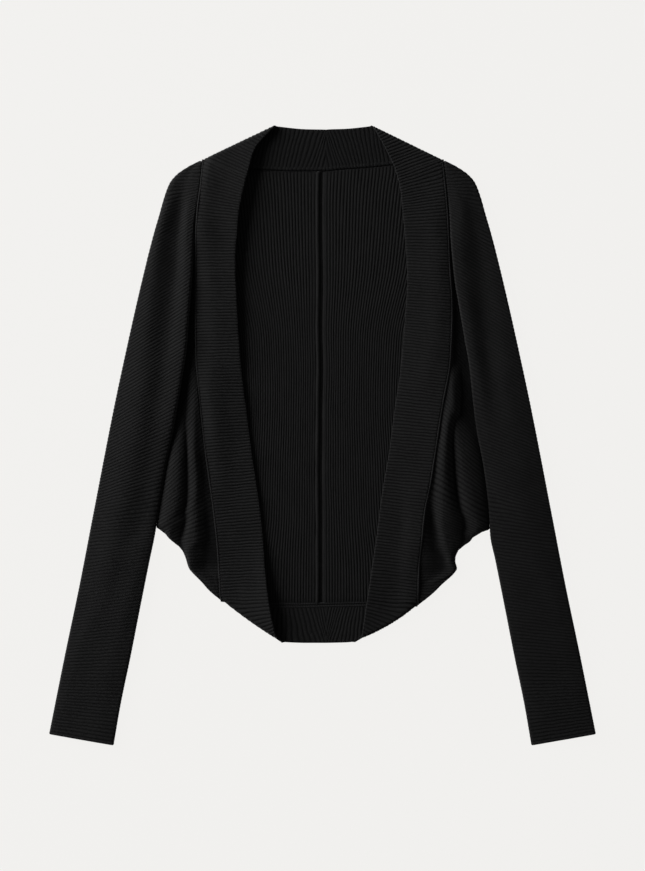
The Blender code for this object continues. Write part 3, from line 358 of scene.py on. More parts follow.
def smooth_through(at: Array, value: Array, position: Array) -> Array:
    """Cubic Hermite curves through rows of knots, that never overshoot them and are held beyond.

    The slope at a knot is twice the product over the sum of the rises on both sides of it, and
    nothing where they differ in sign, by Fritsch and Carlson's rule; at the ends it is the rise.

    Args:
        at: positions of the knots, curves x knots.
        value: their values.
        position: where to read each curve, curves x places.

    Returns:
        The values, in the shape of the positions.
    """
    rise = np.diff(value, axis=1) / np.diff(at, axis=1)
    before, after = rise[:, :-1], rise[:, 1:]
    both = before * after
    inner = np.where(both > 0, 2 * both / np.where(both > 0, before + after, 1.0), 0.0)
    slope = np.concatenate([rise[:, :1], inner, rise[:, -1:]], axis=1)
    x = np.clip(position, at[:, :1], at[:, -1:])
    i = np.zeros(x.shape, int)
    for knot in range(1, at.shape[1] - 1):
        i += x >= at[:, knot:knot + 1]

    def take(rows: Array, step: int) -> Array:
        """The rows' entries at the knot before each place, or a step after it."""
        return np.take_along_axis(np.broadcast_to(rows, (len(x), rows.shape[1])), i + step, axis=1)

    gap = take(at, 1) - take(at, 0)
    u = (x - take(at, 0)) / gap
    return (
        (1 + 2 * u) * (1 - u) ** 2 * take(value, 0) + u * (1 - u) ** 2 * gap * take(slope, 0)
        + u * u * (3 - 2 * u) * take(value, 1) + u * u * (u - 1) * gap * take(slope, 1)
    )


@dataclass(frozen=True)
class Curve:
    """A smooth curve through rows of (position, value) that never overshoots its rows."""

    at: Array
    value: Array

    @classmethod
    def through(cls, rows: Rows, column: int = 1) -> Curve:
        """Make the curve through the first column of a table and another one."""
        table = np.array(rows, float)
        table = table[np.argsort(table[:, 0])]
        return cls(table[:, 0], table[:, column])

    def __call__(self, position: Array) -> Array:
        """Value at each position, in the shape of the positions."""
        spots = np.asarray(position, float)
        return smooth_through(self.at[None], self.value[None], spots.reshape(1, -1)).reshape(spots.shape)


def columns_of(rows: Rows, ribs: Array) -> Array:
    """Every column of a table past the first, read smoothly at each rib: ribs x columns."""
    return np.stack([Curve.through(rows, column)(ribs) for column in range(1, len(rows[0]))], axis=1)


@dataclass(frozen=True)
class Wander:
    """Smooth unevenness: a sum of plane sine waves of fixed random directions, lengths and phases."""

    seed: int
    shortest: float
    longest: float
    waves: int = 9

    def __call__(self, x: Array, y: Array) -> Array:
        """Sum of the sines of (distance along each wave's direction / its length + its phase).

        Args:
            x: first coordinate, mm.
            y: second coordinate, mm.

        Returns:
            Values of about unit size, in the shape of x.
        """
        draw = np.random.default_rng(self.seed)
        angle = draw.uniform(0, TURN, self.waves)
        length = draw.uniform(self.shortest, self.longest, self.waves)
        phase = draw.uniform(0, TURN, self.waves)
        total = np.zeros(np.broadcast(x, y).shape)
        for a, size, p in zip(angle, length, phase):
            total += np.sin(TURN * (x * np.cos(a) + y * np.sin(a)) / size + p)
        return total / np.sqrt(self.waves / 2)


def ease(share: Array) -> Array:
    """Smooth step from 0 to 1: three times the share's square less twice its cube."""
    u = np.clip(share, 0.0, 1.0)
    return u * u * (3 - 2 * u)


def crested(share: Array) -> Array:
    """Rise from 0 to 1, steep at its foot and level at its top: one less the square of what is left."""
    return 1 - (1 - np.clip(share, 0.0, 1.0)) ** 2


def rolled(distance: Array, radius: float) -> Array:
    """Quarter of a circle: 0 at an edge, rising steeply to 1 at a radius from it."""
    return np.sqrt(1 - (1 - np.clip(distance / radius, 0.0, 1.0)) ** 2)


@dataclass(frozen=True)
class Roll:
    """A roll over an edge: a quarter of a circle over the distance from it."""

    radius: float
    inset: float = 0.0      # how far in the edge itself already is
    pitch: float = 1.0      # mm for each unit of the distances

    def __call__(self, distance: Array) -> Array:
        """Share of the full height at a distance from the edge."""
        return rolled(distance * self.pitch + self.inset, self.radius)


def crease(distance: Array, width: float) -> Array:
    """One on a seam line and nothing past a width from it, for the shade of its crease."""
    return CREASE_SHADE * (1 - ease(distance / width))


def mix(first: Array, second: Array, share: Array) -> Array:
    """Straight line from the first to the second."""
    return first + (second - first) * share


def steps(first: float, last: float, per_unit: int) -> Array:
    """Evenly spaced values from first to last, so many to a unit."""
    return np.linspace(first, last, round((last - first) * per_unit) + 1)


def places(length: Array, rolls: tuple[float, float], roll_steps: int, middle: int) -> Array:
    """Columns' places along a rib: close over the rolls at its ends, even between them.

    A place in a roll is its radius times one less the cosine of an angle that goes evenly from
    nothing to a quarter turn, so that the columns lie evenly along the round.

    Args:
        length: length of the rib line in each row, mm.
        rolls: radius of the roll at its start and at its end, mm.
        roll_steps: number of steps over each roll.
        middle: number of columns between the rolls.

    Returns:
        Shares of the rib's length, rows by columns.
    """
    turn = 1 - np.cos(np.linspace(0, np.pi / 2, roll_steps + 1))
    start, stop = (np.minimum(roll, ROLL_SHARE * length)[:, None] / length[:, None] for roll in rolls)
    between = start + (1 - start - stop) * np.linspace(0, 1, middle + 2)[1:-1]
    return np.concatenate([start * turn, between, 1 - stop * turn[::-1]], axis=1)


def normals(points: Array, side: Side, ring: bool = False) -> Array:
    """Unit normals: the step along the columns crossed with the step along the rows, each divided
    by its length, turned by the half's sign so that they point up on both halves.

    Args:
        points: rows x columns x 3.
        side: which half the grid is in.
        ring: whether the last column joins the first.

    Returns:
        The normals, in the shape of the points.
    """
    down = np.gradient(points, axis=0)
    if ring:
        across = np.roll(points, -1, axis=1) - np.roll(points, 1, axis=1)
    else:
        across = np.gradient(points, axis=1)
    normal = side.value * np.cross(across, down)
    return normal / np.maximum(np.linalg.norm(normal, axis=2, keepdims=True), TINY)


def points_at(*coordinates: Array | float) -> Array:
    """Points from their coordinates."""
    return np.stack(np.broadcast_arrays(*coordinates), axis=-1).astype(float)


def off_floor(points: Array) -> Array:
    """The points, with none lower than cloth may lie."""
    points[..., 2] = np.maximum(points[..., 2], FLOOR_GAP)
    return points


def run_of(points: Array) -> Array:
    """Distance of each grid point from the first point of its row, along the row."""
    step = np.linalg.norm(np.diff(points, axis=1), axis=2)
    return np.concatenate([np.zeros((len(points), 1)), np.cumsum(step, axis=1)], axis=1)


def swelled(form: Array, place: Array) -> Array:
    """Heights along the ribs, smoothly through the knots of a form.

    Args:
        form: for each rib, its height at the start, place and height of each knot, height at the end.
        place: shares of the rib's length, rows x columns.

    Returns:
        The heights, rows x columns.
    """
    at = np.pad(form[:, 1:-1:2], ((0, 0), (1, 1)), constant_values=(0.0, 1.0))
    return smooth_through(at, np.concatenate([form[:, :-1:2], form[:, -1:]], axis=1), place)


def area_of(points: Array) -> float:
    """Area of a grid in square metres: half of the cross product of each quad's diagonals, summed."""
    first = points[1:, 1:] - points[:-1, :-1]
    second = points[1:, :-1] - points[:-1, 1:]
    return float(np.linalg.norm(np.cross(first, second), axis=2).sum() / 2) * MM * MM


@dataclass(frozen=True)
class RibKnit:
    """The rib knit's own sizes, in mm."""

    wall: float = 2.0
    height: float = 0.55        # groove to crest
    sunk: float = 0.35          # share of the height below the plain surface
    roundness: float = 0.75     # the power of the sine; under 1 it narrows the groove
    stitch: float = 1.3         # length of a stitch along a rib
    samples: int = 8            # rows to a rib

    def relief(self, ribs: Array, x: Array, y: Array) -> Array:
        """Height over the plain surface: a power of the sine of half a turn for each rib, made
        uneven by a smooth random share of itself.

        Args:
            ribs: rib count of each row; a whole number is the bottom of a groove.
            x: first coordinate of the points, rows x columns.
            y: second coordinate of the points.

        Returns:
            The heights, mm, rows x columns.
        """
        phase = ribs - np.floor(ribs)
        shape = np.abs(np.sin(np.pi * phase)) ** self.roundness - self.sunk
        return self.height * shape[:, None] * (1 + RELIEF_SPREAD * HANDLE(x, y))


KNIT = RibKnit()
SLEEVE_KNIT = RibKnit(height=0.34)
SIDE_KNIT = RibKnit(height=0.22)
BACK_KNIT = RibKnit(height=0.5)
INNER_KNIT = RibKnit(height=0.32)
JITTER = Wander(seed=11, shortest=9.0, longest=34.0)
SWELLS = Wander(seed=23, shortest=28.0, longest=90.0)
HANDLE = Wander(seed=37, shortest=7.0, longest=22.0)
SEAM_WAVE = Wander(seed=5, shortest=40.0, longest=120.0)
ROLL_SHARE = 0.4        # most of a rib line that a roll takes up
JITTER_RIBS = 0.05      # how far the ribs stray from their lines, in ribs
STRAY_PITCH = 3.0       # mm of the wander for each rib
STRAY_STRETCH = 0.25    # on the back, mm of it for each mm along a rib
STRAY_START = 70.0      # and where the back starts in it
RELIEF_STRETCH = 0.4    # the same as the stretch, for how unevenly high the back's ribs are
SWELL_HEIGHT = 0.22     # how far the cloth's surface rises and falls
RELIEF_SPREAD = 0.13    # how unevenly high the ribs are
CREASE_SHADE = 0.95     # how much deeper a seam's crease is shaded than the knit's inner side
SEAM_CREASE = 2.2       # how far from a seam's edge the crease's shade reaches
SIDE_CREASE = 0.9       # the same on the side front
END_CREASE = 3.4        # the same along the neck and the hem
EDGE_CREASE = 1.6       # how far from a sleeve's inner fold its crease's shade reaches
FLOOR_GAP = 0.02        # lowest point of any cloth
BAND_CREST: Colour = (0.0150, 0.0150, 0.0151, 1.0)      # the band's crests are lit a little more


@dataclass(frozen=True)
class Stray:
    """How far the ribs of a piece stray from their lines, in ribs."""

    start: float            # where the piece starts in the wander
    spread: float           # how long a rib is in it
    still: float            # ribs at both ends over which they stray less

    def __call__(self, ribs: Array, place: Array) -> Array:
        """The wander over rib count and place, eased out to both ends.

        Args:
            ribs: rib count of each row.
            place: shares of the rib's length, rows x columns.

        Returns:
            The strays, rows x columns.
        """
        stray = JITTER_RIBS * JITTER(ribs[:, None] * STRAY_PITCH + self.start, place * self.spread)
        return stray * (ease((ribs - ribs[0]) / self.still) * ease((ribs[-1] - ribs) / self.still))[:, None]


def moved(grid: Array, strays: Array) -> Array:
    """A grid whose rows are moved by so many ribs, by its rise from row to row."""
    shift = strays * KNIT.samples
    return grid + np.gradient(grid, axis=0) * shift.reshape(shift.shape + (1,) * (grid.ndim - shift.ndim))


# --------------------------------------------------------------------------------------------------
# Meshes
# --------------------------------------------------------------------------------------------------

@dataclass
class Skin:
    """One face of a piece of cloth: its points, and the knit coordinates of its corners."""

    points: Array           # rows x columns x 3, mm
    knit: Array             # rows x columns (one more on a ring) x 2: rib count, stitch count
    inside: Array | float   # rows x columns, or one value: how far its colour is darkened; 1 where it is the knit's inner side, more with painted shade in creases and valleys

    def numbers(self, start: int) -> Array:
        """Corner numbers of the grid, counted from start."""
        rows, columns = self.knit.shape[:2]
        return start + np.arange(rows * columns).reshape(rows, columns)

    def owners(self, start: int) -> Array:
        """For each corner number, the number of its point; a ring's last corner has the first point."""
        rows, columns = self.points.shape[:2]
        row = np.arange(rows)[:, None] * columns
        return (start + row + np.arange(self.knit.shape[1])[None, :] % columns).ravel()


def quads(numbers: Array) -> Array:
    """Four corners of each cell of a grid of corner numbers."""
    corners = [numbers[:-1, :-1], numbers[1:, :-1], numbers[1:, 1:], numbers[:-1, 1:]]
    return np.stack(corners, axis=-1).reshape(-1, 4)


def edge_fans(fine: Array, coarse: Array, at: Array) -> Array:
    """Triangles between a fine edge line and a coarse one whose corners lie at some of its rows.

    Each fine step is joined to the coarse corner nearest to its middle, and each coarse step to
    the fine corner where that choice changes.

    Args:
        fine: corner numbers of the fine line.
        coarse: corner numbers of the coarse line.
        at: the fine row beside each coarse corner.

    Returns:
        Triangles, wound from the fine line's end to its start.
    """
    change = (at[:-1] + at[1:] + 1) // 2
    nearest = np.searchsorted(change, np.arange(len(fine) - 1), side="right")
    first = np.stack([fine[1:], fine[:-1], coarse[nearest]], axis=-1)
    second = np.stack([coarse[:-1], coarse[1:], fine[change]], axis=-1)
    return np.concatenate([first, second])


def polygons_of(outer: Skin, inner: Skin, inner_rows: Array, ring: bool) -> tuple[list[Array], Array]:
    """Faces of a closed shell: an outer grid, an inner grid turned over, and the rims between them.

    Args:
        outer: the outer face.
        inner: the inner face, on some of the outer face's rows.
        inner_rows: which of them.
        ring: whether the columns close on themselves.

    Returns:
        The faces, by number of corners, and the point that each corner number stands for.
    """
    above = outer.numbers(0)
    below = inner.numbers(above.size)
    points_above = outer.points.shape[0] * outer.points.shape[1]
    owner = np.concatenate([outer.owners(0), inner.owners(points_above)])
    top = np.stack([above[0, :-1], above[0, 1:], below[0, 1:], below[0, :-1]], axis=-1)
    bottom = np.stack([above[-1, 1:], above[-1, :-1], below[-1, :-1], below[-1, 1:]], axis=-1)
    faces = [np.concatenate([quads(above), quads(below)[:, ::-1], top, bottom])]
    if not ring:
        near = edge_fans(above[:, 0], below[:, 0], inner_rows)
        far = edge_fans(above[:, -1], below[:, -1], inner_rows)[:, ::-1]
        faces.append(np.concatenate([near, far]))
    return faces, owner


def volume_of(points: Array, faces: list[Array]) -> float:
    """Signed volume: a sixth of the triple product of each triangle's corners, summed."""
    total = 0.0
    for group in faces:
        for k in range(1, group.shape[1] - 1):
            a, b, c = points[group[:, 0]], points[group[:, k]], points[group[:, k + 1]]
            total += float(np.einsum("ij,ij->i", a, np.cross(b, c)).sum()) / 6
    return total


def make_mesh(name: str, points: Array, knit: Array, inside: Array, faces: list[Array],
              owner: Array) -> bpy.types.Object:
    """Put arrays of points and faces into a smooth mesh whose faces point out.

    Args:
        name: the piece's name.
        points: n x 3, mm.
        knit: knit coordinates of each corner number.
        inside: how far each point's colour is darkened: 1 on the knit's inner side, more with painted shade
            in creases and valleys, else 0.
        faces: faces as corner numbers, one array for each number of corners.
        owner: the point that each corner number stands for.

    Returns:
        The object, linked to the scene.
    """
    if volume_of(points, [owner[group] for group in faces]) < 0:
        faces = [group[:, ::-1] for group in faces]
    corners = np.concatenate([group.ravel() for group in faces])
    sizes = np.concatenate([np.full(len(group), group.shape[1]) for group in faces])
    mesh = bpy.data.meshes.new(name)
    mesh.vertices.add(len(points))
    mesh.vertices.foreach_set("co", (points * MM).astype(np.float32).ravel())
    mesh.loops.add(len(corners))
    mesh.loops.foreach_set("vertex_index", owner[corners].astype(np.int32))
    mesh.polygons.add(len(sizes))
    starts = np.concatenate([[0], np.cumsum(sizes)[:-1]])
    mesh.polygons.foreach_set("loop_start", starts.astype(np.int32))
    mesh.update(calc_edges=True)
    mesh.polygons.foreach_set("use_smooth", np.ones(len(sizes), bool))
    layer = mesh.uv_layers.new(name=KNIT_UV)
    layer.uv.foreach_set("vector", knit[corners].astype(np.float32).ravel())
    mesh.attributes.new(INNER_SIDE_AND_PAINTED_SHADE, "FLOAT", "POINT").data.foreach_set("value", inside.astype(np.float32))
    mesh.update()
    piece = bpy.data.objects.new(name, mesh)
    bpy.context.scene.collection.objects.link(piece)
    return piece


def shell(name: str, outer: Skin, inner: Skin, inner_rows: Array, ring: bool = False) -> bpy.types.Object:
    """A closed thin shell of cloth between an outer and an inner face.

    Args:
        name: the piece's name.
        outer: the outer face.
        inner: the inner face, on some of the outer face's rows.
        inner_rows: which of them, with the first and the last.
        ring: whether the columns close on themselves.

    Returns:
        The object.
    """
    faces, owner = polygons_of(outer, inner, inner_rows, ring)
    points = np.concatenate([outer.points.reshape(-1, 3), inner.points.reshape(-1, 3)])
    knit = np.concatenate([outer.knit.reshape(-1, 2), inner.knit.reshape(-1, 2)])
    inside = np.concatenate([
        np.broadcast_to(skin.inside, skin.points.shape[:2]).ravel() for skin in (outer, inner)])
    return make_mesh(name, points, knit, inside, faces, owner)


def some_rows(count: int, step: int, fine: Array | None = None) -> Array:
    """Every so many rows, with the first and the last and those of a fine mask."""
    keep = np.zeros(count, bool)
    keep[::step] = True
    keep[-1] = True
    if fine is not None:
        keep |= fine
    return np.flatnonzero(keep)


def knit_coordinates(ribs: Array, points: Array) -> Array:
    """Rib count, and distance along the rib divided by a stitch's length, at each grid point."""
    return points_at(ribs[:, None], run_of(points) / KNIT.stitch)


# --------------------------------------------------------------------------------------------------
# Materials
# --------------------------------------------------------------------------------------------------

class Socket:
    """An output socket, or a number, that takes part in shader maths written as expressions."""

    def __init__(self, nodes: Nodes, value: Any) -> None:
        """Wrap a socket of a node tree, or a number."""
        self.nodes = nodes
        self.value = value

    def _maths(self, operation: str, *others: Any) -> Socket:
        """Add a Math node of an operation on this and other values."""
        inputs = dict(enumerate([self, *others]))
        return self.nodes.add("ShaderNodeMath", {"operation": operation}, inputs)("Value")

    def __add__(self, other: Any) -> Socket:
        """This plus another."""
        return self._maths("ADD", other)

    def __sub__(self, other: Any) -> Socket:
        """This less another."""
        return self._maths("SUBTRACT", other)

    def __rsub__(self, other: Any) -> Socket:
        """Another less this."""
        return Socket(self.nodes, other)._maths("SUBTRACT", self)

    def __mul__(self, other: Any) -> Socket:
        """This times another."""
        return self._maths("MULTIPLY", other)

    def __pow__(self, other: Any) -> Socket:
        """This to a power."""
        return self._maths("POWER", other)

    def __abs__(self) -> Socket:
        """This without its sign."""
        return self._maths("ABSOLUTE")

    __radd__ = __add__
    __rmul__ = __mul__

    def fraction(self) -> Socket:
        """What this is over the whole number below it."""
        return self._maths("FRACT")

    def sine(self) -> Socket:
        """Sine of this, in radians."""
        return self._maths("SINE")

    def wave(self) -> Socket:
        """Between 0 and 1: half of the sine of a turn for each unit of this, plus a half."""
        return (self * TURN).sine() * 0.5 + 0.5

    def clamped(self) -> Socket:
        """This, held between 0 and 1."""
        return self._maths("MAXIMUM", 0.0)._maths("MINIMUM", 1.0)

    def uneven(self, amount: float) -> Socket:
        """A factor about 1: less by the amount where this is 0, and more by it where this is 1."""
        return 1 - amount + self * (2 * amount)


class Nodes:
    """The node tree of a material or a world, to which nodes are added by one method."""

    def __init__(self, owner: bpy.types.Material | bpy.types.World, shader: str) -> None:
        """Take the owner's tree, and its shader by name."""
        owner.use_nodes = True
        self.tree = owner.node_tree
        self.shader = self.tree.nodes[shader]

    def add(self, kind: str, settings: dict[str, Any] | None = None,
            inputs: dict[Any, Any] | None = None) -> Callable[[Any], Socket]:
        """Add a node.

        Args:
            kind: the node's type.
            settings: properties that are set first.
            inputs: values, or sockets to link, by the name or number of the node's socket.

        Returns:
            A function that gives the node's output of a name or number as a Socket.
        """
        node = self.tree.nodes.new(kind)
        for key, value in (settings or {}).items():
            setattr(node, key, value)
        for key, value in (inputs or {}).items():
            self.feed(node.inputs[key], value)
        return lambda output: Socket(self, node.outputs[output])

    def feed(self, target: bpy.types.NodeSocket, value: Any) -> None:
        """Link a Socket to a node's input, or set its value."""
        if isinstance(value, Socket):
            value = value.value
        if isinstance(value, bpy.types.NodeSocket):
            self.tree.links.new(value, target)
        else:
            target.default_value = value

    def knit_place(self) -> tuple[Socket, Socket]:
        """The two knit coordinates of the piece."""
        knit = self.add("ShaderNodeUVMap", {"uv_map": KNIT_UV})("UV")
        split = self.add("ShaderNodeSeparateXYZ", inputs={"Vector": knit})
        return split("X"), split("Y")

    def noise(self, scale: float, detail: float) -> Socket:
        """Noise on Object coordinates."""
        inputs = {"Vector": self.add("ShaderNodeTexCoord")("Object"), "Scale": scale, "Detail": detail}
        return self.add("ShaderNodeTexNoise", inputs=inputs)("Fac")

    def blend(self, share: Socket, first: Colour, second: Colour) -> Socket:
        """Mix two colours by a share."""
        inputs = {"Factor": share, MIX_FIRST: first, MIX_SECOND: second}
        return self.add("ShaderNodeMix", {"data_type": "RGBA"}, inputs)(MIX_RESULT)

    def dress(self, **values: Any) -> None:
        """Feed sockets of the shader, whose names are given with _ for each space."""
        for name, value in values.items():
            self.feed(self.shader.inputs[name.replace("_", " ")], value)

    def bump(self, height: Socket, distance: float) -> Socket:
        """Normals of a surface of a height, in units of a distance in metres."""
        inputs = {"Height": height, "Distance": distance, "Strength": 1.0}
        return self.add("ShaderNodeBump", inputs=inputs)("Normal")


@dataclass(frozen=True)
class KnitFinish:
    """Black rib knit: soft, matt, with painted shade in its grooves and between stitches, and slanted
    stitches along each rib.

    Each noise is given as its scale and detail, and depths are in mm.
    """

    name: str
    crest: Colour = (0.0138, 0.0138, 0.0139, 1.0)
    # Painted shade: the grooves are coloured darker than the crests for the shade that falls in them.
    groove: Colour = (0.0024, 0.0024, 0.0025, 1.0)
    crest_power: float = 0.7        # under 1 it narrows the groove
    roughness: tuple[float, float] = (0.82, 0.98)
    wales: float = 2.0              # columns of stitches on a rib
    slant: float = 0.9              # how far a stitch's legs run along the rib
    stitch_shade: float = 0.2       # how much painted shade darkens it between stitches
    stitch_depth: float = 0.22
    fuzz: tuple[float, float] = (1500.0, 3.0)
    fuzz_shade: float = 0.15
    fuzz_depth: float = 0.12
    mottle: tuple[float, float] = (60.0, 4.0)
    mottle_shade: float = 0.16
    speckle: tuple[float, float] = (520.0, 1.0)
    speckle_shade: float = 0.45
    speckle_depth: float = 0.3
    inner_and_painted_shade: float = 0.72       # how much darker the darkening attribute makes it: the knit's inner side, partly its own duller colour and partly painted shade, and the painted shade in creases and valleys
    sheen: float = 0.05
    sheen_roughness: float = 0.45
    specular: float = 0.06

    def material(self) -> bpy.types.Material:
        """Build the material.

        The crest is the sine of half a turn for each rib, to a power under one. A stitch is the
        sine of a turn for each stitch along the rib, put off by the distance from the middle of
        its wale, which makes a V. Fuzz and mottling are noise on Object coordinates.

        Returns:
            The material.
        """
        material = bpy.data.materials.new(self.name)
        nodes = Nodes(material, PRINCIPLED)
        rib, along = nodes.knit_place()
        fuzz, cloud, loops = (nodes.noise(*noise) for noise in (self.fuzz, self.mottle, self.speckle))
        inner = nodes.add("ShaderNodeAttribute", {"attribute_name": INNER_SIDE_AND_PAINTED_SHADE})("Fac")

        phase = rib.fraction()
        crest = (phase * np.pi).sine().clamped() ** self.crest_power
        off_wale = abs((phase * self.wales).fraction() - 0.5)
        leg = (along + off_wale * self.slant).wave()
        shade = crest * (1 - self.stitch_shade + leg * self.stitch_shade)
        shade = shade * cloud.uneven(self.mottle_shade) * loops.uneven(self.speckle_shade)
        # Painted shade: the point attribute darkens the inner side, the seam creases and the fold valleys.
        shade = shade * fuzz.uneven(self.fuzz_shade) * (1 - inner * self.inner_and_painted_shade).clamped()
        low, high = self.roughness
        height = leg * crest * self.stitch_depth + fuzz * self.fuzz_depth + loops * self.speckle_depth
        nodes.dress(Base_Color=nodes.blend(shade.clamped(), self.groove, self.crest),
                    Roughness=cloud * (high - low) + low, Normal=nodes.bump(height, MM),
                    Specular_IOR_Level=self.specular, Sheen_Weight=self.sheen,
                    Sheen_Roughness=self.sheen_roughness)
        return material


@dataclass(frozen=True)
class YarnFinish:
    """Black linking yarn of the seams, in slanted stitches."""

    name: str
    # Painted shade: the colour goes from lit on the stitches to deep between them.
    lit: Colour = (0.0135, 0.0135, 0.0136, 1.0)
    deep: Colour = (0.004, 0.004, 0.0042, 1.0)
    roughness: float = 0.85
    twist: float = 0.6              # how far a stitch leans, in stitches round the roll
    fuzz: tuple[float, float] = (1800.0, 3.0)
    fuzz_shade: float = 0.25
    depth: float = 0.2              # of the bump, mm, and the shares that stitches and fuzz have in it
    depth_shares: tuple[float, float] = (0.5, 0.6)
    specular: float = 0.08
    sheen: float = 0.05

    def material(self) -> bpy.types.Material:
        """Build the material: painted shade between stitches, by the root of the sine of a turn for each.

        Returns:
            The material.
        """
        material = bpy.data.materials.new(self.name)
        nodes = Nodes(material, PRINCIPLED)
        around, stitch = nodes.knit_place()
        fuzz = nodes.noise(*self.fuzz)
        strand = (stitch + around * self.twist).wave().clamped()
        shade = (strand ** 0.5 * fuzz.uneven(self.fuzz_shade)).clamped()
        of_strand, of_fuzz = self.depth_shares
        nodes.dress(Base_Color=nodes.blend(shade, self.deep, self.lit), Roughness=self.roughness,
                    Normal=nodes.bump(strand * of_strand + fuzz * of_fuzz, self.depth * MM),
                    Specular_IOR_Level=self.specular, Sheen_Weight=self.sheen)
        return material


# --------------------------------------------------------------------------------------------------
# Pieces
# --------------------------------------------------------------------------------------------------

@dataclass(frozen=True)
class FlatCut:
    """Flat size of a piece of cloth, in metres and square metres."""

    width: float
    length: float
    area: float

    @classmethod
    def of(cls, middle: Array) -> FlatCut:
        """Read a cut off the smooth grid of its cloth.

        Args:
            middle: rows x columns x 3, mm, where rows run across the ribs.

        Returns:
            Longest rib line, longest run across the ribs, and area.
        """
        width, length = (
            np.linalg.norm(np.diff(middle, axis=axis), axis=2).sum(axis=axis).max() for axis in (1, 0))
        return cls(width * MM, length * MM, area_of(middle))


@dataclass
class Wardrobe:
    """Gives each piece its finish and body, and logs its size and flat cut."""

    finishes: dict[Slot, bpy.types.Material]
    yarn: bpy.types.Material

    @staticmethod
    def _dress(piece: bpy.types.Object, material: bpy.types.Material, slot: Slot) -> bpy.types.Object:
        """Give a piece its material and body, and log its size."""
        piece.data.materials.append(material)
        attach(piece, BODY)
        triangles = sum(len(face.vertices) - 2 for face in piece.data.polygons)
        log.info("%s: %d triangles", piece.name, triangles)
        return piece

    def cloth(self, piece: bpy.types.Object, slot: Slot, nodes: list[str]) -> bpy.types.Object:
        """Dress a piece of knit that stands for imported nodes."""
        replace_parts(self._dress(piece, self.finishes[slot], slot), *nodes)
        return piece

    def seam(self, piece: bpy.types.Object) -> bpy.types.Object:
        """Dress a seam's yarn."""
        return self._dress(piece, self.yarn, Slot.BAND)

    def declare(self, piece: bpy.types.Object, cut: FlatCut, rests_on: list[bpy.types.Object],
                with_pieces: list[bpy.types.Object]) -> None:
        """Log a piece's flat cut."""
        log.info("%s: cut %.0f x %.0f mm, %.4f square metres", piece.name, cut.width / MM,
                 cut.length / MM, cut.area)


@dataclass
class Fold:
    """A fold of the band strip over a straight line in plan: the strip is laid out flat in the
    plane of the front, and what lies past the line is turned over and under it round a half circle.
    """

    ends: Rows
    middle: tuple[float, float]     # a point of the front, to tell its side
    bow: float                      # outward bow of the line half way along
    radius: float                   # of the half circle in the cloth's middle
    overhang: float                 # from the middle of the cloth to its outline

    def __post_init__(self) -> None:
        """Work out the line's direction and the normal that points to the front."""
        start, end = (np.array(point) for point in self.ends)
        self.start = start
        self.length = float(np.linalg.norm(end - start))
        self.along = (end - start) / self.length
        normal = np.array([-self.along[1], self.along[0]])
        self.inward = normal if (np.array(self.middle) - start) @ normal > 0 else -normal
        self.quarter = np.pi * self.radius / 2

    def outline(self, run: Array) -> Array:
        """Outward bow of the line at a run along it: a parabola over its length."""
        share = np.clip(run / self.length, 0.0, 1.0)
        return -self.bow * 4 * share * (1 - share)

    def unfold(self, points: Array, beyond: Array) -> tuple[Array, Array]:
        """Flat place of points that are given in plan.

        Args:
            points: n x 2, in plan.
            beyond: whether each is on the layer that is turned under.

        Returns:
            Run along the line, and signed distance from it in the flat strip.
        """
        offset = points - self.start
        run = offset @ self.along
        depth = offset @ self.inward - self.outline(run) - self.radius - self.overhang
        arc = self.radius * np.arccos(np.clip(-depth / self.radius, -1.0, 1.0))
        flat = np.where(depth < 0, arc, depth + self.quarter)
        flat = np.where(depth < -self.radius, 0.0, flat)
        return run, np.where(beyond, -flat, flat)

    def fold(self, run: Array, flat: Array) -> tuple[Array, Array, Array]:
        """Place of points of the flat strip once it is folded.

        Args:
            run: distance along the line.
            flat: signed distance from the line in the flat strip.

        Returns:
            x, y, and the height as a share from the lower layer, 0, to the upper one, 1.
        """
        angle = np.clip(flat, -self.quarter, self.quarter) / self.radius
        depth = np.maximum(np.abs(flat) - self.quarter, 0.0) - self.radius * np.cos(angle)
        depth = depth + self.radius + self.overhang + self.outline(run)
        place = self.start + run[..., None] * self.along + depth[..., None] * self.inward
        return place[..., 0], place[..., 1], (np.sin(angle) + 1) / 2


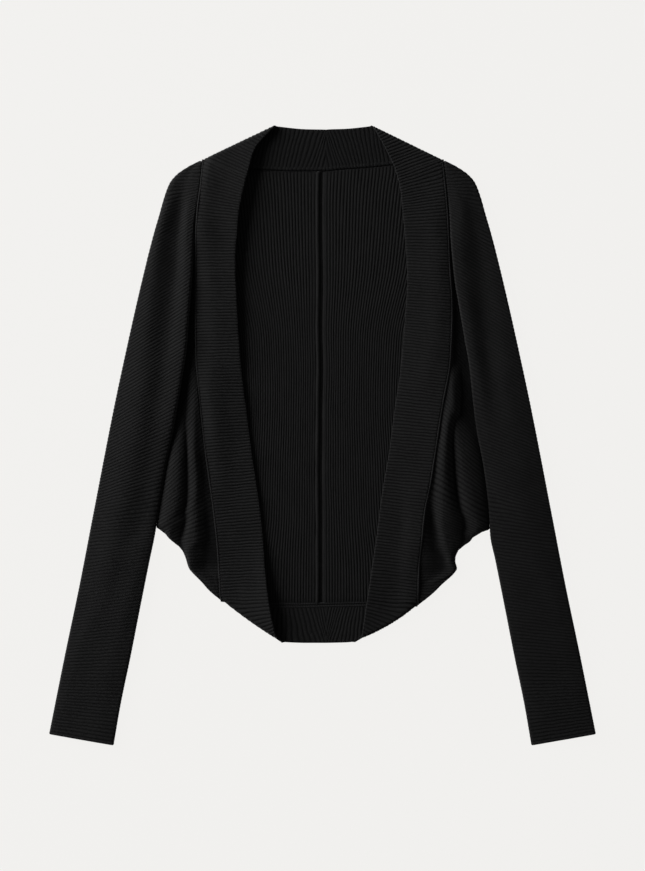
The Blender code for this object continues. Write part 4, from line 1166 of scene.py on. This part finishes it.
@dataclass
class BandStrip:
    """Half of the rib band: one strip from the centre back neck over the shoulder, down the front
    and under at the hem to the centre back again. Its ribs run across it.
    """

    sizes: HalfSizes
    neck_corner: float = 15.0       # rib at which the shoulder fold starts, at the free edge
    shoulder: float = 33.0          # rib at which it ends, at the seam
    front_foot: float = 173.0       # rib at which the hem fold starts, at the seam
    hem_corner: float = 184.0       # rib at which it ends, at the free edge
    last: float = 197.0
    front_middle: float = 100.0     # a distance from the centre line that is on the front
    low: float = 1.03               # height of the cloth's middle at the neck and the hem
    high: float = 3.9               # height of the cloth's middle on the front
    half_wall: float = 1.05
    thinnest: float = 0.12          # least share of the wall at an edge
    seam_roll: float = 2.0
    free_roll: float = 0.7
    roll_steps: int = 4
    free_draw: float = 0.6          # how far the free edge is drawn back from its line
    end_roll: Roll = Roll(1.0, inset=0.05, pitch=3.5)
    columns: int = 22
    seam_gap: float = 0.45
    seam_lap: float = 0.1           # how far it laps the back's edge at the neck and the hem
    stray: Stray = Stray(0.0, spread=50.0, still=3.0)
    inner_shades: tuple[float, float] = (0.65, 0.25)    # darkening of its inner side at the neck and the hem, partly its own duller colour and partly painted shade

    def seam_points(self, ribs: Array) -> Array:
        """Plan of the strip's seam edge: on the neck seam, the front seam and the hem seam in turn."""
        sizes, sign = self.sizes, self.sizes.side.value
        neck_x = Curve.through(sizes.neck_seam_x)(ribs)
        hem_x = Curve.through(sizes.hem_seam_x)(ribs)
        front_y = Curve.through(sizes.front_ribs)(ribs)
        front_x = sign * (Curve.through(sizes.band_outer)(front_y) - self.seam_gap)
        neck = np.stack([neck_x, Curve.through(NECK_SEAM)(neck_x) - self.seam_lap], axis=-1)
        hem = np.stack([hem_x, Curve.through(HEM_SEAM)(hem_x) + self.seam_lap], axis=-1)
        at_neck, at_hem = (ribs < self.shoulder)[:, None], (ribs > self.front_foot)[:, None]
        return np.where(at_neck, neck, np.where(at_hem, hem, np.stack([front_x, front_y], axis=-1)))

    def free_points(self, ribs: Array) -> Array:
        """Plan of the strip's free edge: top of the neck, edge of the opening, foot of the hem."""
        sizes, sign = self.sizes, self.sizes.side.value
        front_y = Curve.through(sizes.front_ribs, 2)(ribs)
        front_x = sign * (Curve.through(sizes.band_free)(front_y) - self.free_draw)
        front = np.stack([front_x, front_y], axis=-1)
        neck, hem = columns_of(sizes.neck_edge, ribs), columns_of(sizes.hem_edge, ribs)
        at_neck, at_hem = (ribs < self.neck_corner)[:, None], (ribs > self.hem_corner)[:, None]
        return np.where(at_neck, neck, np.where(at_hem, hem, front))

    def middle(self, ribs: Array) -> tuple[Array, Array]:
        """Middle of the cloth.

        A rib is a straight line in the flat strip between its two edges; the fold then lays its
        far end under. The height goes from the lower layer to the upper one round the fold.

        Args:
            ribs: rib count of each row.

        Returns:
            Points, and which layer each is on, 0 lower to 1 upper.
        """
        sizes = self.sizes
        front = (sizes.side.value * self.front_middle, 0.0)
        radius = (self.high - self.low) / 2
        overhang = self.half_wall + KNIT.height * (1 - KNIT.sunk)
        seam, free = self.seam_points(ribs), self.free_points(ribs)
        length = np.linalg.norm(free - seam, axis=1)
        place = places(length, (self.seam_roll, self.free_roll), self.roll_steps, self.columns)
        strays = self.stray(ribs, place)
        x, y, level = (np.empty_like(place) for _ in range(3))
        upper_half = ribs < (self.shoulder + self.front_foot) / 2
        for line, bow, rows, seam_under, free_under in (
            (sizes.shoulder_fold, 0.0, upper_half, ribs < self.shoulder, ribs < self.neck_corner),
            (sizes.hem_fold, sizes.hem_fold_bow, ~upper_half,
             ribs > self.front_foot, ribs > self.hem_corner),
        ):
            fold = Fold(line, front, bow, radius, overhang)
            at_seam = fold.unfold(seam[rows], seam_under[rows])
            at_free = fold.unfold(free[rows], free_under[rows])
            run, flat = (moved(mix(start[:, None], end[:, None], place[rows]), strays[rows])
                         for start, end in zip(at_seam, at_free))
            x[rows], y[rows], level[rows] = fold.fold(run, flat)
        lift = Curve.through(sizes.seam_lift)(seam[:, 1:])
        stand = swelled(np.concatenate([lift, columns_of(sizes.band_form, ribs)], axis=1), place)
        height = mix(self.low, self.high + stand, level)
        return points_at(x, y, height + SWELL_HEIGHT * SWELLS(x, y) * level), level

    def build(self, wardrobe: Wardrobe) -> tuple[bpy.types.Object, FlatCut]:
        """Make the strip.

        The upper and the under face stand half the cloth's wall off its middle along the normal.
        Ribs are raised on the outer face of the front, and on the inner face of the neck and hem.

        Args:
            wardrobe: gives the finish.

        Returns:
            The piece and its flat cut.
        """
        side = self.sizes.side
        ribs = steps(0, self.last, KNIT.samples)
        middle, level = self.middle(ribs)
        along = run_of(middle)
        edge = (rolled(along, self.seam_roll) * rolled(along[:, -1:] - along, self.free_roll)
                * self.end_roll(np.minimum(ribs, self.last - ribs)[:, None]))
        edge = np.maximum(edge, self.thinnest)
        relief, inner_relief = (
            knit.relief(ribs, middle[..., 0], middle[..., 1]) for knit in (KNIT, INNER_KNIT))
        normal = normals(middle, side)
        above = (self.half_wall + relief * level) * edge
        below = (self.half_wall + inner_relief * (1 - level)) * edge
        upper = off_floor(middle + normal * above[..., None])
        under = off_floor(middle - normal * below[..., None])
        knit = knit_coordinates(ribs, middle)
        rows = some_rows(len(ribs), KNIT.samples, (ribs <= self.shoulder) | (ribs >= self.front_foot))
        # Painted shade in the seam's crease, added to the inner side's darkening.
        seam_shade = crease(along, mix(END_CREASE, SEAM_CREASE, level[:, :1]))
        inner_and_painted_shade = mix(*self.inner_shades, ribs[:, None] / self.last) + seam_shade
        piece = shell(f"band_strip_{side.word}", Skin(upper, knit, seam_shade),
                      Skin(under[rows], knit[rows], inner_and_painted_shade[rows]), rows)
        nodes = [f"{part}_{side.word}" for part in ("neck_band", "front_band", "hem_band")]
        return wardrobe.cloth(piece, Slot.BAND, nodes), FlatCut.of(middle)


@dataclass
class Sleeve:
    """A batwing sleeve: a flattened tube from the shoulder point to the open cuff."""

    sizes: HalfSizes
    fold_height: float = 3.1        # height of the two fold lines
    seam_height: float = 3.6        # height of the inner line, where it meets the front band
    last_seam_rib: float = 20.0
    parting: float = 7.0            # ribs over which it leaves the band
    outer_roll: float = 2.8
    inner_roll: float = 2.4
    roll_steps: int = 6
    columns: int = 24
    under_columns: int = 8
    shoulder_roll: Roll = Roll(5.0, inset=0.02, pitch=3.0)
    cuff_roll: Roll = Roll(1.4, inset=0.1, pitch=3.4)
    first_ribs: float = 3.0         # over which the ribs rise at the shoulder
    first_share: float = 0.5        # ribs of that rise that lie before the first one
    calm: float = 0.45              # how much lower they stand towards the cuff
    calm_ribs: tuple[float, float] = (85.0, 115.0)
    upright_wall: float = 0.85      # share of the wall's thickness that is left where it lies flat
    narrowest: float = 0.15         # least share of the tube's width and height that is hollow
    flattest: float = 0.12
    least_height: float = 0.1
    stray_start: float = 400.0
    last: float = 165.0

    def ring(self, ribs: Array) -> Array:
        """Smooth outer face of the tube, without its ribs.

        Over the top the columns go from the outer fold to the inner one; the height rises in a
        quarter ellipse over each fold, and between them goes smoothly through the knots of the
        sleeve's form. They come back along a level underside.

        Args:
            ribs: rib count of each row.

        Returns:
            Points, rows x columns x 3.
        """
        sizes, sign = self.sizes, self.sizes.side.value
        outer_y, left_y, right_y = columns_of(SLEEVE_RIBS, ribs).T
        inner_y = left_y if sizes.side is Side.LEFT else right_y
        outer = np.stack([sign * Curve.through(SLEEVE_OUTER)(outer_y), outer_y], axis=-1)
        inner = np.stack([sign * Curve.through(sizes.sleeve_inner)(inner_y), inner_y], axis=-1)
        length = np.linalg.norm(inner - outer, axis=1)
        over, under = (places(length, (self.outer_roll, self.inner_roll), self.roll_steps, columns)
                       for columns in (self.columns, self.under_columns))
        place = np.concatenate([over, under[:, -2:0:-1]], axis=1)
        is_top = np.arange(place.shape[1]) < over.shape[1]

        strays = Stray(self.stray_start * sign, spread=80.0, still=4.0)(ribs, place)
        plan = moved(mix(outer[:, None], inner[:, None], place[..., None]), strays)
        top = swelled(columns_of(sizes.sleeve_form, ribs), place)
        top = top + SWELL_HEIGHT * SWELLS(plan[..., 0], plan[..., 1])
        from_outer, from_inner = place * length[:, None], (1 - place) * length[:, None]
        roll = rolled(from_outer, self.outer_roll) * rolled(from_inner, self.inner_roll)
        roll = roll * self.shoulder_roll(ribs[:, None])
        met = self.seam_height + Curve.through(sizes.seam_lift)(inner_y) - self.fold_height
        met = met * (1 - ease((ribs - self.last_seam_rib) / self.parting))
        line = self.fold_height + met[:, None] * place
        height = np.where(is_top, line + (top - line) * roll, line * (1 - roll))
        return points_at(plan[..., 0], plan[..., 1], height)

    def build(self, wardrobe: Wardrobe) -> tuple[bpy.types.Object, FlatCut]:
        """Make the sleeve.

        Ribs stand on the outer face along its normal, and fade where it turns under. The inner
        face is the same ring, drawn in towards the middle line of the tube by the wall's
        thickness across and up.

        Args:
            wardrobe: gives the finish.

        Returns:
            The piece and its flat cut, all round.
        """
        side = self.sizes.side
        ribs = steps(0, self.last, KNIT.samples)
        ring = self.ring(ribs)
        normal = normals(ring, side, ring=True)
        cuff = self.cuff_roll((self.last - ribs)[:, None])[..., None]
        turned = np.clip(normal[..., 2] * 2 + 1, 0.0, 1.0)
        start, stop = self.calm_ribs
        calm = self.calm * ease((ribs - start) / (stop - start))
        stand = ease((ribs + self.first_share) / self.first_ribs) * (1 - calm)
        relief = SLEEVE_KNIT.relief(ribs, ring[..., 0], ring[..., 1]) * turned * stand[:, None]

        inner_fold = ring[:, self.columns + 2 * self.roll_steps + 1][:, None]
        centre = (ring[:, :1] + inner_fold) / 2
        half_width = np.linalg.norm(ring[:, :1] - centre, axis=2, keepdims=True)
        half_height = np.abs(ring[..., 2:] - centre[..., 2:]).max(axis=1, keepdims=True)
        half_height = np.maximum(half_height, self.least_height)
        shrink = np.concatenate([
            np.repeat(np.maximum(1 - KNIT.wall / half_width, self.narrowest), 2, axis=2),
            np.maximum(1 - KNIT.wall * self.upright_wall / half_height, self.flattest),
        ], axis=2)
        inner = centre + (ring - centre) * shrink
        outer = off_floor(mix((ring + inner) / 2, ring + normal * relief[..., None], cuff))
        inner = mix((ring + inner) / 2, inner, cuff)

        looped = np.concatenate([ring, ring[:, :1]], axis=1)
        knit = knit_coordinates(ribs, looped)
        rows = some_rows(len(ribs), KNIT.samples, ribs > self.last - 1)
        shade = crease(np.linalg.norm(ring - inner_fold, axis=2), EDGE_CREASE)
        piece = shell(f"sleeve_shell_{side.word}", Skin(outer, knit, shade),
                      Skin(inner[rows], knit[rows], 1.0), rows, ring=True)
        return wardrobe.cloth(piece, Slot.PANEL, [f"sleeve_{side.word}"]), FlatCut.of(looped)


@dataclass
class SideFront:
    """Front of a half panel between the sleeve and the band, with two soft folds down to its foot."""

    sizes: HalfSizes
    tuck: float = 0.15              # gap to the sleeve's inner fold
    crotch: float = -95.0           # y below which the outline leaves the sleeve
    outer_height: float = 3.3       # of the upper face's outer edge
    seam_height: float = 3.9        # of its edge at the band seam
    lowest: float = 2.35            # underside, over the back
    least_wall: float = 0.2
    thinnest: float = 0.15          # least share of the wall at an edge
    outer_roll: float = 2.0
    seam_roll: float = 1.8
    roll_steps: int = 4
    swell_roll: float = 6.0         # from the outer edge to where its surface swells in full
    rib_roll: Roll = Roll(1.5, inset=0.3)
    under_roll: Roll = Roll(1.4, inset=0.1)
    end_roll: Roll = Roll(1.4, inset=0.1, pitch=3.0)
    columns: int = 34
    seam_gap: float = 0.45
    stray_start: float = 900.0
    valley: tuple[float, float] = (3.6, 6.4)    # heights between which the painted shade in the folds' valleys fades out
    valley_shade: float = 1.1
    foot_ribs: tuple[float, float] = (79.0, 84.0)   # over which that ends

    def edge(self) -> Curve:
        """Outer edge: beside the sleeve, then along the body's foot."""
        beside = tuple((y, x - self.tuck) for y, x in self.sizes.sleeve_inner if y > self.crotch)
        return Curve.through(beside + self.sizes.foot)

    def surface(self, ribs: Array) -> tuple[Array, Array]:
        """Smooth upper face.

        Its height goes from the outer edge over the outer fold, the valley, the inner fold and
        the hollow to the band seam. A fold is level at its top and steep at its foot; the hollow
        is a smooth step on both sides.

        Args:
            ribs: rib count of each row.

        Returns:
            Points, and distances along the ribs from their nearer end.
        """
        sizes, sign = self.sizes, self.sizes.side.value
        outer_y, seam_y = columns_of(sizes.side_ribs, ribs).T
        outer = np.stack([sign * self.edge()(outer_y), outer_y], axis=-1)
        seam = np.stack([sign * (Curve.through(sizes.band_outer)(seam_y) + self.seam_gap), seam_y], axis=-1)
        length = np.linalg.norm(seam - outer, axis=1)
        place = places(length, (self.outer_roll, self.seam_roll), self.roll_steps, self.columns)
        strays = Stray(self.stray_start * sign, spread=50.0, still=4.0)(ribs, place)
        plan = moved(mix(outer[:, None], seam[:, None], place[..., None]), strays)

        form = columns_of(sizes.side_form, ribs)[..., None]
        seam_height = self.seam_height + Curve.through(sizes.seam_lift)(seam_y)[:, None]
        (fold, fold_top), (valley, valley_top), (ridge, ridge_top), (hollow, hollow_top) = (
            (form[:, column], form[:, column + 1]) for column in (0, 2, 4, 6))
        past_fold = np.clip((place - fold) / (valley - fold), 0, 1)
        height = mix(self.outer_height, fold_top, crested(place / fold))
        height = height + (valley_top - fold_top) * (1 - crested(1 - past_fold))
        height = height + (ridge_top - valley_top) * crested((place - valley) / (ridge - valley))
        height = height + (hollow_top - ridge_top) * ease((place - ridge) / (hollow - ridge))
        height = height + (seam_height - hollow_top) * ease((place - hollow) / (1 - hollow))
        from_outer, from_seam = place * length[:, None], (1 - place) * length[:, None]
        height = mix(seam_height, height, rolled(from_seam, self.seam_roll))
        swell = SWELL_HEIGHT * SWELLS(plan[..., 0], plan[..., 1]) * rolled(from_outer, self.swell_roll)
        return points_at(plan[..., 0], plan[..., 1], height + swell), np.minimum(from_outer, from_seam)

    def build(self, wardrobe: Wardrobe) -> tuple[bpy.types.Object, FlatCut]:
        """Make the side front: ribs on its upper face, and a plain face a wall below that.

        Args:
            wardrobe: gives the finish.

        Returns:
            The piece and its flat cut.
        """
        side = self.sizes.side
        first, last = self.sizes.side_ribs[0][0], self.sizes.side_ribs[-1][0]
        ribs = steps(first, last, KNIT.samples)
        face, inset = self.surface(ribs)
        normal = normals(face, side)
        ends = self.end_roll(np.minimum(ribs - first, last - ribs)[:, None])
        relief = SIDE_KNIT.relief(ribs, face[..., 0], face[..., 1]) * self.rib_roll(inset) * ends
        upper = face + normal * relief[..., None]
        under = face - normal * (KNIT.wall * np.maximum(self.under_roll(inset), self.thinnest))[..., None]
        lowest = np.minimum(self.lowest, face[..., 2] - self.least_wall)
        under[..., 2] = np.maximum(under[..., 2], lowest)
        under = mix(mix(upper, under, 0.5), under, ends[..., None])
        knit = knit_coordinates(ribs, face)
        rows = some_rows(len(ribs), KNIT.samples // 2)
        # Painted shade in the folds' low valleys, ending at the foot, and in the seam's crease.
        (low, high), (foot, end) = self.valley, self.foot_ribs
        shade = self.valley_shade * (1 - ease((face[..., 2] - low) / (high - low)))
        shade = shade * (1 - ease((ribs[:, None] - foot) / (end - foot)))
        shade = shade + crease(np.linalg.norm(face - face[:, -1:], axis=2), SIDE_CREASE)
        piece = shell(f"side_front_{side.word}", Skin(upper, knit, shade),
                      Skin(under[rows], knit[rows], 1.0), rows)
        return wardrobe.cloth(piece, Slot.PANEL, [f"side_{side.word}"]), FlatCut.of(face)


@dataclass
class BackPanel:
    """Half of the back, with its inner face up: upright ribs that spread to the neck and the hem."""

    sizes: HalfSizes
    ribs: float = 44.0
    centre: float = -0.6            # x of the centre back seam
    rib_gap: float = 0.4            # from the centre profile to the first groove
    under_band: float = 5.0         # how far the ribs show under the front band
    hidden_ribs: float = 1.5        # ribs over which they fade beyond that
    columns: int = 72
    roll: float = 2.0               # at the neck and the hem
    roll_steps: int = 3
    edge_roll: float = 2.4          # over which its thickness rises, and over which its ribs do
    rib_roll: float = 3.0
    thinnest: float = 0.12          # least share of the thickness at an edge
    least_height: float = 0.3
    end_lift: float = 0.2           # of the underside at the neck and the hem
    seam_lap: float = 0.2           # how far it laps the band's edge at the neck and the hem
    under_sleeve: float = 0.9       # how far it reaches past the sleeve's inner fold
    inside: float = 0.22            # the back shows its inner side: how far its colour is darkened, partly its own duller colour and partly painted shade
    seam_wave: float = 0.35         # how far the centre seam strays, and how wide the cloth follows it
    wave_reach: float = 60.0
    stitch_pitch: float = 2.6       # of the overlocking on the centre seam
    stitch_height: float = 0.22
    stitch_wear: float = 0.12
    rib_pitch: float = 3.0          # mm that a rib strays for each rib of the wander
    still_ribs: float = 2.0         # ribs beside the centre seam that stray less
    low_ribs: float = 3.0           # ribs there that stand lower, and the first one's share
    first_rib: float = 0.4
    swell: float = 0.6              # share of the usual swells, and how far they are lifted
    swell_lift: float = 0.6

    def plan(self, ribs: Array, tall: Array) -> tuple[Array, Array, Array, Array]:
        """Plan of the rows and columns.

        A row's distance from the centre seam is its rib count times the pitch at its y, out to
        just under the front band; the rows past that are spread evenly to the body's outline.

        Args:
            ribs: rib count of each row past the centre profile.
            tall: shares of the height, from the neck seam, 0, to the hem seam, 1.

        Returns:
            x, y, rib counts past which the rows are hidden, and distances from the centre seam.
        """
        sizes, sign = self.sizes, self.sizes.side.value
        profile = np.array(sizes.centre_profile)[:, 0]
        start = profile[-1] + self.rib_gap
        pitch, free = Curve.through(BACK_PITCH), Curve.through(sizes.band_free)
        edge, count = SideFront(sizes).edge(), ribs[:, None]

        def shown(y: Array) -> Array:
            """Rib count of the last shown rib at a height."""
            return (free(y) - sign * self.centre + self.under_band - start) / pitch(y)

        def away(y: Array) -> Array:
            """Distance of each row from the centre seam at a height, the centre profile's first."""
            last = shown(y)
            outside = edge(y) - sign * self.centre + self.under_sleeve * (y > SideFront.crotch)
            hidden = mix(start + last * pitch(y), outside, (count - last) / (self.ribs - last))
            middle = np.broadcast_to(profile[:, None], (len(profile), len(tall)))
            return np.concatenate([middle, np.where(count < last, start + count * pitch(y), hidden)])

        ends = (NECK_SEAM, NECK_MIDDLE, self.seam_lap), (HEM_SEAM, HEM_MIDDLE, -self.seam_lap)
        top, foot = (
            Curve.through(seam)(self.centre + sign * away(np.full((1, len(tall)), level))) + lap
            for seam, level, lap in ends
        )
        y = mix(top, foot, tall[None, :])
        distance = away(y[len(profile):])
        return self.centre + sign * distance, y, shown(y[len(profile):]), distance

    def build(self, wardrobe: Wardrobe) -> tuple[bpy.types.Object, FlatCut]:
        """Make the half back: centre seam profile, then ribs, over a level underside.

        Args:
            wardrobe: gives the finish.

        Returns:
            The piece and its flat cut.
        """
        sizes, side = self.sizes, self.sizes.side
        profile = np.array(sizes.centre_profile)
        count, length = len(profile), NECK_MIDDLE - HEM_MIDDLE
        ribs = steps(0, self.ribs, KNIT.samples)
        tall = places(np.array([length]), (self.roll, self.roll), self.roll_steps, self.columns)[0]
        x, y, shown, distance = self.plan(ribs, tall)
        x = x + self.seam_wave * SEAM_WAVE(y * 0.0, y) * (1 - ease(distance / self.wave_reach))
        inset = np.minimum(tall, 1 - tall)[None, :] * length
        edge = np.maximum(rolled(inset, self.edge_roll), self.thinnest)

        stray = side.value * JITTER_RIBS * JITTER(x, y * STRAY_STRETCH + STRAY_START)[count:]
        x[count:] += stray * self.rib_pitch * ease(ribs / self.still_ribs)[:, None]
        stitched = self.stitch_height * np.sin(TURN * y[:count] / self.stitch_pitch)
        stitched = stitched + self.stitch_wear * HANDLE(x[:count], y[:count])
        fade = 1 - ease((ribs[:, None] - shown) / self.hidden_ribs)
        relief = BACK_KNIT.relief(ribs, x[count:], y[count:] * RELIEF_STRETCH)
        relief = relief * fade * rolled(inset, self.rib_roll)
        relief = relief * mix(self.first_rib, 1.0, ease(ribs / self.low_ribs))[:, None]
        waves = SWELL_HEIGHT * self.swell * (SWELLS(x[count:], y[count:]) + self.swell_lift) * fade
        height = np.concatenate([profile[:, 1:2] + profile[:, 2:3] * stitched, KNIT.wall + relief + waves])
        upper = points_at(x, y, np.maximum(height * edge, self.least_height))
        under = points_at(x, y, FLOOR_GAP)
        under[:, 0, 2] = under[:, -1, 2] = self.end_lift

        counts = np.concatenate([np.linspace(*sizes.centre_ribs, count), ribs])
        knit = knit_coordinates(counts, upper)
        rows = some_rows(len(counts), KNIT.samples)
        # Painted shade in the creases at the neck and the hem, over the inner side's darkening.
        shade = np.broadcast_to(self.inside + crease(inset, END_CREASE), height.shape)
        piece = shell(f"back_panel_{side.word}", Skin(upper, knit, shade),
                      Skin(under[rows], knit[rows], 0.0), rows)
        return wardrobe.cloth(piece, Slot.PANEL, [f"back_{side.word}"]), FlatCut.of(points_at(x, y, 1.0))


@dataclass
class SeamRoll:
    """A raised line of linking stitches that follows a path."""

    name: str
    path: Array                     # n x 3, mm, the middle of its foot
    width: float = 2.2
    height: float = 1.1
    sunk: float = 0.5               # how far it goes down, as a share of its height
    stitch: float = 2.1             # length of a stitch
    depth: float = 0.16             # how much thinner it is between stitches
    skew: float = 0.35              # how far the stitches lean, in stitches over the roll's width
    end_roll: float = 2.0
    thinnest: float = 0.1           # share of its thickness at its ends
    per_stitch: int = 5
    around: int = 10

    def build(self, wardrobe: Wardrobe) -> bpy.types.Object:
        """Make the roll.

        Its section is an ellipse, flattened below; the radius swells and shrinks with the sine of
        a turn for each stitch, put off by the place round the section so that the stitches lean.

        Args:
            wardrobe: gives the finish.

        Returns:
            The piece.
        """
        run = run_of(self.path[None])[0]
        count = max(2, round(run[-1] / self.stitch * self.per_stitch))
        at = np.linspace(0, run[-1], count + 1)
        line = np.stack([np.interp(at, run, self.path[:, k]) for k in range(3)], axis=-1)
        ahead = np.gradient(line, axis=0)
        ahead /= np.linalg.norm(ahead, axis=1, keepdims=True)
        across = np.stack([ahead[:, 1], -ahead[:, 0], np.zeros(len(at))], axis=-1)
        across /= np.linalg.norm(across, axis=1, keepdims=True)
        turn = np.linspace(0, TURN, self.around, endpoint=False)
        wave = np.sin(TURN * (at[:, None] / self.stitch + self.skew * np.cos(turn)[None, :]))
        tight = np.minimum(at, run[-1] - at)[:, None]
        size = (1 + self.depth * wave) * np.maximum(rolled(tight, self.end_roll), self.thinnest)
        reach = np.cos(turn)[None, :] * size * self.width / 2
        points = line[:, None] + across[:, None] * reach[..., None]
        radius = np.where(np.sin(turn) > 0, self.height, self.height * self.sunk)
        points[..., 2] += radius * np.sin(turn) * size
        points = off_floor(points)
        looped = np.linspace(0, 1, self.around + 1)
        skin = Skin(points, points_at(looped[None, :], at[:, None] / self.stitch), 0.0)
        numbers = skin.numbers(0)
        caps = np.stack([numbers[0, :-1][::-1], numbers[-1, :-1]])
        piece = make_mesh(self.name, points.reshape(-1, 3), skin.knit.reshape(-1, 2),
                          np.zeros(points[..., 0].size), [quads(numbers)[:, ::-1], caps[:, ::-1]],
                          skin.owners(0))
        return wardrobe.seam(piece)


@dataclass
class Shrug:
    """The whole shrug: both halves, and the seams that join their pieces."""

    wardrobe: Wardrobe
    front_seam_height: float = 4.15
    front_seam_top: float = 302.5           # y at the shoulder
    front_seam_short: float = 1.5           # how far it ends above the band's foot
    neck_seam_height: float = 1.7
    neck_seam_rise: float = 3.2             # how far the neck's roll lies above the seam line
    neck_seam_reach: float = 92.0           # x of its ends
    hem_seam_height: float = 1.65
    hem_seam_ends: tuple[float, float] = (-66.0, 62.0)
    hem_rows: tuple[tuple[str, float, float], ...] = (      # name, rise over the seam line, skew
        ("upper", 1.4, 0.5), ("lower", -1.7, -0.5),
    )
    path_points: tuple[int, int, int] = (160, 90, 80)       # front, neck, hem

    def front_seam(self, sizes: HalfSizes) -> bpy.types.Object:
        """The linking seam between a front band and its half panel, shoulder to foot."""
        foot = sizes.band_outer[-1][0] + self.front_seam_short
        y = np.linspace(self.front_seam_top, foot, self.path_points[0])
        x = sizes.side.value * Curve.through(sizes.band_outer)(y)
        z = self.front_seam_height + Curve.through(sizes.seam_lift)(y)
        return SeamRoll(f"front_seam_{sizes.side.word}", points_at(x, y, z)).build(self.wardrobe)

    def neck_seam(self) -> bpy.types.Object:
        """The smooth roll along the foot of the neck band."""
        x = np.linspace(-self.neck_seam_reach, self.neck_seam_reach, self.path_points[1])
        path = points_at(x, Curve.through(NECK_SEAM)(x) + self.neck_seam_rise, self.neck_seam_height)
        roll = SeamRoll("neck_seam", path, width=4.0, height=0.5, stitch=1.7, depth=0.05)
        return roll.build(self.wardrobe)

    def hem_seams(self) -> list[bpy.types.Object]:
        """Two rows of overlocking along the hem seam."""
        x = np.linspace(*self.hem_seam_ends, self.path_points[2])
        line = Curve.through(HEM_SEAM)(x)
        return [
            SeamRoll(f"hem_seam_{word}", points_at(x, line + rise, self.hem_seam_height), width=2.5,
                     height=0.95, stitch=2.7, depth=0.22, skew=skew).build(self.wardrobe)
            for word, rise, skew in self.hem_rows
        ]

    def build(self) -> None:
        neck, hems = self.neck_seam(), self.hem_seams()
        for sizes in (LEFT, RIGHT):
            back, back_cut = BackPanel(sizes).build(self.wardrobe)
            sleeve, sleeve_cut = Sleeve(sizes).build(self.wardrobe)
            front, front_cut = SideFront(sizes).build(self.wardrobe)
            strip, strip_cut = BandStrip(sizes).build(self.wardrobe)
            seam = self.front_seam(sizes)
            middle = [neck, *hems] if sizes.side is Side.LEFT else []
            self.wardrobe.declare(back, back_cut, [], middle)
            self.wardrobe.declare(sleeve, sleeve_cut, [], [])
            self.wardrobe.declare(front, front_cut, [back], [])
            self.wardrobe.declare(strip, strip_cut, [back, front], [seam])


# --------------------------------------------------------------------------------------------------
# Studio
# --------------------------------------------------------------------------------------------------

@dataclass(frozen=True)
class Studio:
    """A pale table that glows a little, a soft key light from the upper left, and the camera."""

    table_colour: Colour = (0.8879, 0.8796, 0.8632, 1.0)
    table_glow: float = 0.98
    table_white: float = 0.02
    table_roughness: float = 0.9
    table_size: float = 30.0
    table_drop: float = 0.0003
    sky_colour: Colour = (1.0, 1.0, 1.0, 1.0)
    sky: float = 0.13               # overhead
    horizon: float = 0.5            # just over the table's far edge
    horizon_power: float = 8.0      # how soon it fades above that
    key_power: float = 123.0        # watts
    key_azimuth: float = 154.0      # degrees from +X towards +Y
    key_height: float = 18.0        # degrees above the table
    key_distance: float = 2.6
    key_size: float = 1.5
    lens: float = 100.0
    frame_height: float = 958.1     # mm that the picture covers, at a height over the table
    frame_level: float = 5.0
    sensor: float = 36.0

    def table(self) -> None:
        """A level table whose material is mostly a glow of its own, so that its shadows are faint."""
        half = self.table_size / 2
        corners = [(x * half, y * half, -self.table_drop) for x, y in ((-1, -1), (1, -1), (1, 1), (-1, 1))]
        mesh = bpy.data.meshes.new("table")
        mesh.from_pydata(corners, [], [(0, 1, 2, 3)])
        table = bpy.data.objects.new("table", mesh)
        bpy.context.scene.collection.objects.link(table)
        material = bpy.data.materials.new("pale_table")
        paint = tuple(c * self.table_white for c in self.table_colour[:3]) + (1.0,)
        Nodes(material, PRINCIPLED).dress(
            Base_Color=paint, Roughness=self.table_roughness, Specular_IOR_Level=0.0,
            Emission_Color=self.table_colour, Emission_Strength=self.table_glow)
        mesh.materials.append(material)

    def lights(self) -> None:
        """An even pale sky, and one broad key light low at the upper left."""
        world = bpy.data.worlds.new("even_sky")
        sky = Nodes(world, "Background")
        place = sky.add("ShaderNodeTexCoord")("Generated")
        up = sky.add("ShaderNodeSeparateXYZ", inputs={"Vector": place})("Z")
        low = (1 - abs(up)).clamped() ** self.horizon_power
        sky.dress(Color=self.sky_colour, Strength=low * (self.horizon - self.sky) + self.sky)
        bpy.context.scene.world = world
        light = bpy.data.lights.new("key", "AREA")
        light.energy = self.key_power
        light.shape = "DISK"
        light.size = self.key_size
        key = bpy.data.objects.new("key", light)
        azimuth, height = np.radians(self.key_azimuth), np.radians(self.key_height)
        key.location = self.key_distance * np.array(
            [np.cos(height) * np.cos(azimuth), np.cos(height) * np.sin(azimuth), np.sin(height)])
        key.rotation_euler = (0.0, np.pi / 2 - height, azimuth)
        bpy.context.scene.collection.objects.link(key)

    def camera(self) -> None:
        """A camera straight above the middle of the shrug, with the neck at the top."""
        data = bpy.data.cameras.new("above")
        data.lens = self.lens
        data.sensor_width = self.sensor
        camera = bpy.data.objects.new("above", data)
        height = self.frame_height * MM * self.lens / self.sensor + self.frame_level * MM
        camera.location = (0.0, 0.0, height)
        bpy.context.scene.collection.objects.link(camera)
        bpy.context.scene.camera = camera

    def build(self) -> None:
        """Make the camera, the table and the lights."""
        bpy.context.scene.view_settings.view_transform = "Standard"
        self.camera()
        self.table()
        self.lights()


def main() -> None:
    """Build the studio and the shrug."""
    logging.basicConfig(level=logging.INFO, format="%(name)s: %(message)s")
    Studio().build()
    finishes = {
        Slot.PANEL: KnitFinish(Slot.PANEL.value).material(),
        Slot.BAND: KnitFinish(Slot.BAND.value, crest=BAND_CREST).material(),
    }
    Shrug(Wardrobe(finishes, YarnFinish("linking_yarn").material())).build()


if __name__ == "__main__":
    main()
